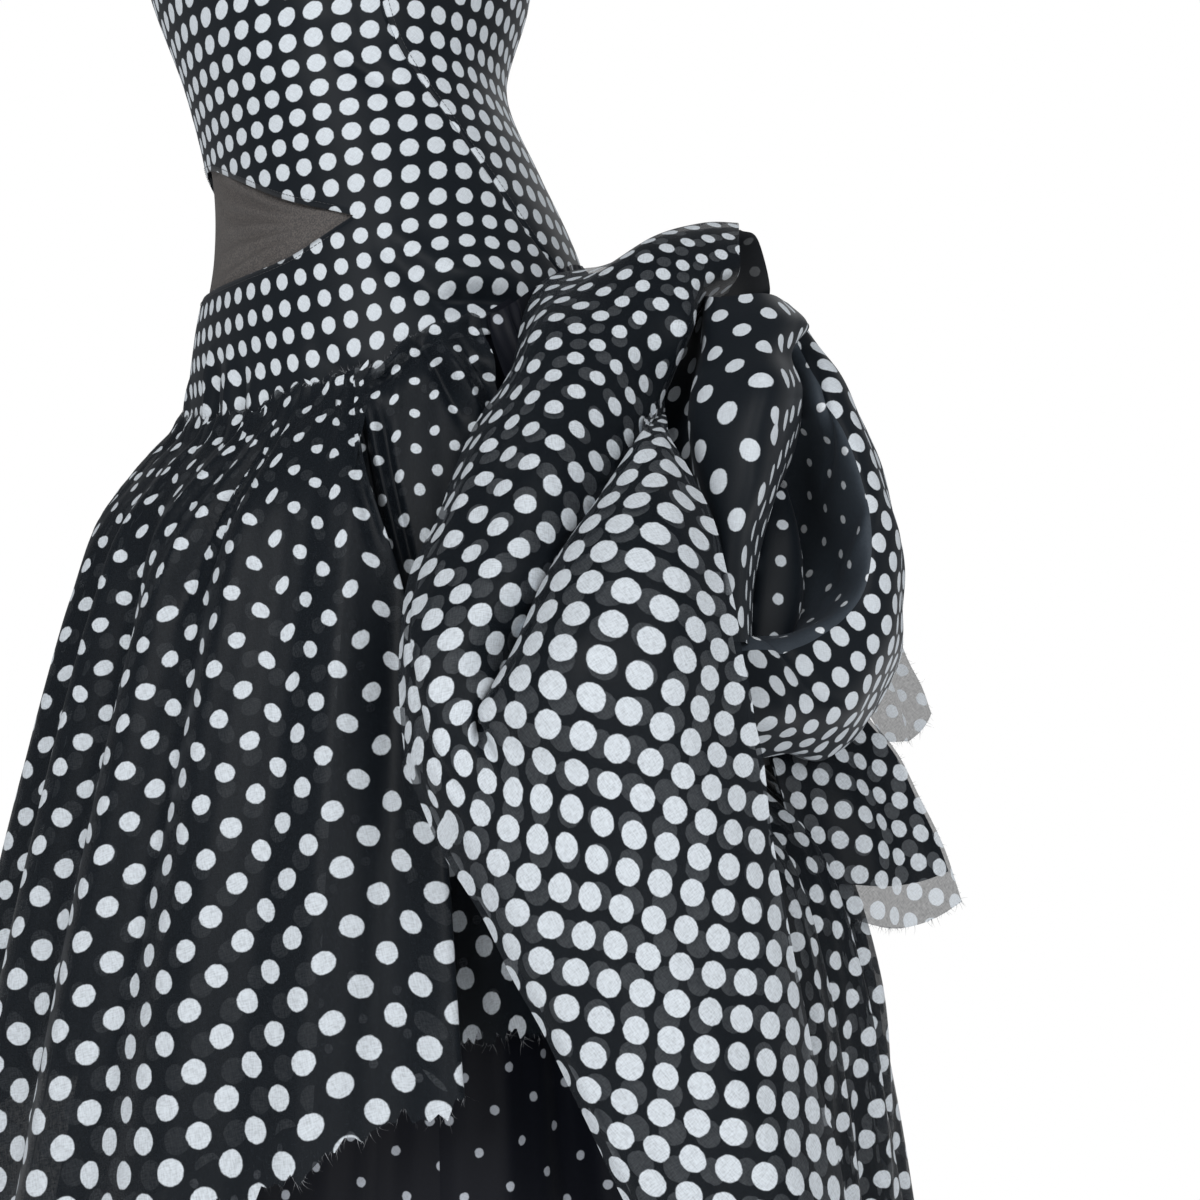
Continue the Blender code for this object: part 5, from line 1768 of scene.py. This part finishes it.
@dataclass
class Drape:
    """The hip drape: roll and flap in one sheet, mid fold, pouf, fall, tails and base.

    Attributes:
        wardrobe: Where materials come from.
        fall_pleats: Narrow folds across the fall.
        fall_depth: Half their depth.
        layer_gap: Distance of the under layer of roll and flap.
        flap_spots: Diameter of the dots on the flap.
    """

    wardrobe: Wardrobe
    fall_pleats: int = 9
    fall_depth: float = 0.0065
    layer_gap: float = 0.0045
    flap_spots: float = 0.0119

    def sheet(self, name: str, points: Array, held: Hold, stands_for: Sequence[str] = (),
              finish: DottedOrganza = DRAPE_CLOTH, slot: str = "dotted_organza",
              rests_on: Sequence[str] = ("drape_base_cloth",), **more: object) -> None:
        """Put in one sheet of the drape."""
        Sheet(name, points, finish, held, slot, stands_for, rests_on, **more).put(self.wardrobe)

    def base(self) -> None:
        """The drape's base, which carries its folds and lies on the underskirt."""
        turns = np.linspace(BASE_START, BASE_END, 121)
        start = edge_height(YOKE_FOOT, turns) + RAW_EDGE_STAND
        heights = start + (BASE_HEM - start) * shares(61, 1)[0]
        drop = edge_height(YOKE_FOOT, turns) - heights
        hugging = Puckers(BASE_START, BASE_END, 16, seed=12).lift(turns + 0 * heights, drop)
        points = on_figure(turns, heights, base_lift(turns, heights) + hugging)
        self.sheet("drape_base_cloth", points, Hold.GATHERED, ("drape_base",), UNDERSKIRT_CLOTH,
                   rests_on=("underskirt_back_cloth", "bodice_front"), bias=12.0,
                   spots=np.interp(drop, (0.02, 0.14), (0.0056, 0.0037)))

    def fall(self) -> None:
        """The fall behind the flap: narrow uneven hanging folds, and a layer under it."""
        turn, height = column(FALL_SEAM, "turn"), column(FALL_SEAM, "height")
        far = on_figure(turn, height, base_lift(turn, height) + FALL_STAND)
        grid = fold_surface(FALL, far, 170, 70)
        down, across = shares(71, 171)
        hang = 0.3 + 0.7 * down
        wave = np.sin(2 * np.pi * self.fall_pleats * across + 0.9 * np.sin(9 * across)
                      + 0.8 * np.sin(4 * down))
        wave = wave + 0.35 * np.sin(2 * np.pi * 21 * across + 3 * down) + 0.2 * np.sin(7 * down + 30 * across)
        rise = self.fall_depth * hang * wave * np.sin(np.pi * across) ** 0.5
        points = grid + rise[..., None] * normals(grid)
        ragged = 0.005 * np.sin(across * 40) + 0.004 * np.sin(across * 97 + 1)
        points[..., 2] += ease((down - 0.8) / 0.2) * ragged
        fray = Fray(seed=31, length=0.009).put("drape_fall_fray", points[-1], points[-2], self.wardrobe)
        self.sheet("drape_fall_cloth", points, Hold.HUNG, ("drape_fall",), spots=0.0095, bias=25.0,
                   trims=[fray])
        inner = (grid + (0.6 * rise)[..., None] * normals(grid) - 0.006 * normals(grid))[::2, ::2]
        self.sheet("drape_fall_under_layer", inner, Hold.HUNG, finish=DRAPE_LINING, spots=0.0095,
                   bias=12.0, shift=(0.007, 0.003))

    def roll_and_flap(self) -> None:
        """Roll and flap: one sheet whose section folds back over itself, and the layer in it."""
        points = rumple(creased(hip_surface(ROLL_AND_FLAP, 210, 150), ROLL_CREASES), 0.0009, 0.060, 4)
        fray = Fray(seed=41, length=0.006).put("drape_flap_fray", points[-1], points[-2], self.wardrobe)
        self.sheet("drape_roll_and_flap", points, Hold.FOLDED, ("drape_roll", "drape_flap_outer"),
                   spots=self.roll_spots(points), bias=29.0, anchor=0.6, trims=[fray])
        inner = hip_surface(ROLL_AND_FLAP, 105, 76)
        inner = inner - (self.layer_gap * shares(106, 1)[0] ** 0.3)[..., None] * normals(inner)
        self.sheet("drape_flap_under_layer", inner, Hold.FOLDED, ("drape_flap_inner",), DRAPE_LINING,
                   spots=self.roll_spots(inner), bias=18.0, anchor=0.6, shift=(0.006, 0.009))

    def roll_spots(self, points: Array) -> Array:
        """Dot diameters of roll and flap: smaller up the roll, full size at its foot and on the flap."""
        height = points[..., 2]
        across = shares(*points.shape[:2])[1]
        share = np.interp(height, (-0.35, -0.29, -0.24, -0.20), (1.0, 0.86, 0.79, 0.75))
        flap = ease((across - 0.5) / 0.12) * ease((-0.205 - height) / 0.03)
        return self.flap_spots * (share + (1 - share) * flap)

    def loop(self) -> None:
        """Inner back wall of the roll's open end, its dots painted nearly black: painted shade inside the
        loop.
        """
        self.sheet("drape_loop_back", hip_surface(LOOP_BACK, 30, 40), Hold.FOLDED, finish=LOOP_CLOTH_PAINTED_SHADE,
                   spots=0.0060)

    def mid_fold(self) -> None:
        """Fold between roll and pouf, which dives under the roll at its left."""
        points = rumple(hip_surface(MID_FOLD, 90, 70), 0.0008, 0.05, 6)
        self.sheet("drape_mid_fold_cloth", points, Hold.FOLDED, ("drape_mid_fold",), POUF_CLOTH,
                   spots=0.0100, bias=52.0)

    def pouf(self) -> None:
        """The pouf: its bowl, the puffed rim that starts at the lip, and the small fold in the bowl."""
        points = creased(hip_surface(POUF, 130, 110), POUF_CREASES)
        points = rumple(points, 0.0010, 0.045, 8)
        # The bowl's cloth is painted lighter: painted light in the hollow.
        self.sheet("pouf_bowl", points[:, :POUF_LIP + 1], Hold.FOLDED, ("pouf_hollow",), BOWL_CLOTH_PAINTED_LIGHT,
                   spots=0.0048, bias=35.0)
        self.sheet("pouf_rim_cloth", points[:, POUF_LIP:], Hold.FOLDED, ("pouf_rim",), RIM_CLOTH,
                   spots=0.0110, bias=20.0, rests_on=("pouf_bowl",))
        self.sheet("pouf_bowl_fold", hip_surface(BOWL_FOLD, 40, 30), Hold.FOLDED, finish=POUF_CLOTH,
                   spots=0.0060, rests_on=("pouf_bowl",))

    def tail(self, name: str, rows: Sequence[Strip], node: str, spots: float, bias: float,
             doubled: float) -> None:
        """A raw-edged tail: one sheer layer, with a second under its upper share."""
        down, across = shares(61, 41)
        points = hip_surface(rows, 60, 40)
        ripple = 0.0022 * np.sin(2 * np.pi * 2.2 * across + 2 * down) * ease(down * 1.5)
        points = points + ripple[..., None] * normals(points)
        frays = [Fray(seed=51, length=0.006).put(f"{name}_fray_hem", points[-1], points[-2], self.wardrobe),
                 Fray(seed=52, length=0.004).put(f"{name}_fray_side", points[:, -1], points[:, -2],
                                                 self.wardrobe)]
        self.sheet(name, points, Hold.HUNG, (node,), TAIL_CLOTH, "sheer_dotted_organza", ("pouf_rim_cloth",),
                   spots=spots, bias=bias, trims=frays)
        if doubled:
            inner = points[:int(len(points) * doubled)]
            inner = inner - 0.0025 * normals(inner)
            self.sheet(f"{name}_under_layer", inner, Hold.HUNG, (), DRAPE_LINING, "sheer_dotted_organza",
                       ("pouf_rim_cloth",), spots=spots, bias=bias + 14, shift=(0.005, 0.007))

    def build(self) -> None:
        """Make the drape, from the pieces nearest the skirt to the outermost."""
        self.base()
        self.fall()
        self.mid_fold()
        self.pouf()
        self.loop()
        self.roll_and_flap()
        self.tail("tail_upper_cloth", TAIL_UPPER, "tail_upper", 0.0080, 24.0, 0.0)
        self.tail("tail_lower_cloth", TAIL_LOWER, "tail_lower", 0.0098, 24.0, 0.84)


# ---- camera, floor and light
LAMP_AIM = (0.15, 0.05, -0.30)


def aimed(name: str, data: bpy.types.ID, place: Place, aim: Place) -> Piece:
    """Put a camera or a lamp at a place, turned to look at another."""
    thing = bpy.data.objects.new(name, data)
    thing.location = place
    thing.rotation_euler = (Vector(aim) - Vector(place)).to_track_quat("-Z", "Y").to_euler()
    bpy.context.scene.collection.objects.link(thing)
    return thing


@dataclass
class Studio:
    """Camera, white floor and soft light.

    Attributes:
        eye: Where the camera stands.
        aim: What it looks at.
        lens: Focal length in millimetres, on a 36 mm sensor.
        floor_height: Height of the floor.
    """

    eye: Place = (1.1105, -0.0366, -0.3055)
    aim: Place = (0.0272, 0.1544, -0.3055)
    lens: float = 53.46
    floor_height: float = -1.04

    def camera(self) -> None:
        """Put the camera level, looking at the left hip."""
        data = bpy.data.cameras.new("camera")
        data.lens = self.lens
        data.clip_start = 0.02
        bpy.context.scene.camera = aimed("camera", data, self.eye, self.aim)

    def floor(self) -> None:
        """A wide pale floor, which fades into white far from the dress."""
        material, wiring, shader = new_material("studio floor")
        place = wiring.add("ShaderNodeTexCoord").outputs["Object"]
        length = wiring.add("ShaderNodeVectorMath", operation="LENGTH")
        wiring.feed(length.inputs[0], place)
        near = wiring.reach(length.outputs["Value"], 0.5, 1.6, 1.0, 0.0)
        grain = wiring.reach(wiring.noise(place, 30.0, 2.0), 0.0, 1.0, 0.985, 1.0)
        wiring.fill(shader, Base_Color=wiring.blend(near, (0.0, 0.0, 0.0), (0.88, 0.88, 0.88)),
                    Emission_Color=wiring.blend(near, (1.0, 1.0, 1.0), (0.10, 0.10, 0.10)),
                    Roughness=grain, Emission_Strength=1.0, Specular_IOR_Level=0.0)
        radius = np.array((0.0005, 0.5, 1.0, 2.0, 8.0))[::-1, None]
        angle = np.linspace(0, 2 * np.pi, 65)
        points = np.stack((radius * np.cos(angle), radius * np.sin(angle),
                           self.floor_height + 0 * radius * angle), axis=-1)
        put_mesh("studio_floor", points, grid_faces(4, 64), material)

    def light(self, name: str, place: Place, size: float, power: float) -> None:
        """A square soft light aimed at the hip."""
        data = bpy.data.lights.new(name, "AREA")
        data.size = size
        data.energy = power
        aimed(name, data, place, LAMP_AIM)

    def world(self, seen: float = 1.0, lit: float = 0.18) -> None:
        """White surroundings, brighter to the camera than to the cloth."""
        world = bpy.data.worlds.new("studio")
        bpy.context.scene.world = world
        world.use_nodes = True
        wiring = Wiring(world.node_tree)
        background = world.node_tree.nodes["Background"]
        ray = wiring.add("ShaderNodeLightPath").outputs["Is Camera Ray"]
        wiring.fill(background, Color=(1.0, 1.0, 1.0, 1.0),
                    Strength=wiring.math("MULTIPLY_ADD", ray, seen - lit, lit))

    def build(self) -> None:
        """Set up the whole studio."""
        bpy.context.scene.view_settings.view_transform = "Standard"
        self.camera()
        self.floor()
        self.world()
        self.light("key", (2.7, -1.5, 1.2), 1.5, 56.0)
        self.light("fill", (2.7, 0.9, 0.6), 1.5, 28.0)
        self.light("back", (-1.8, 1.2, 1.2), 1.4, 6.0)


# ---- main
def main() -> None:
    """Load the frame, then build and dress every piece."""
    logging.basicConfig(level=logging.INFO, format="%(name)s %(message)s")
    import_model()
    Studio().build()
    wardrobe = Wardrobe()
    Bodice(wardrobe).build()
    Zip(wardrobe).build()
    Skirts(wardrobe).build()
    Drape(wardrobe).build()


if __name__ == "__main__":
    main()
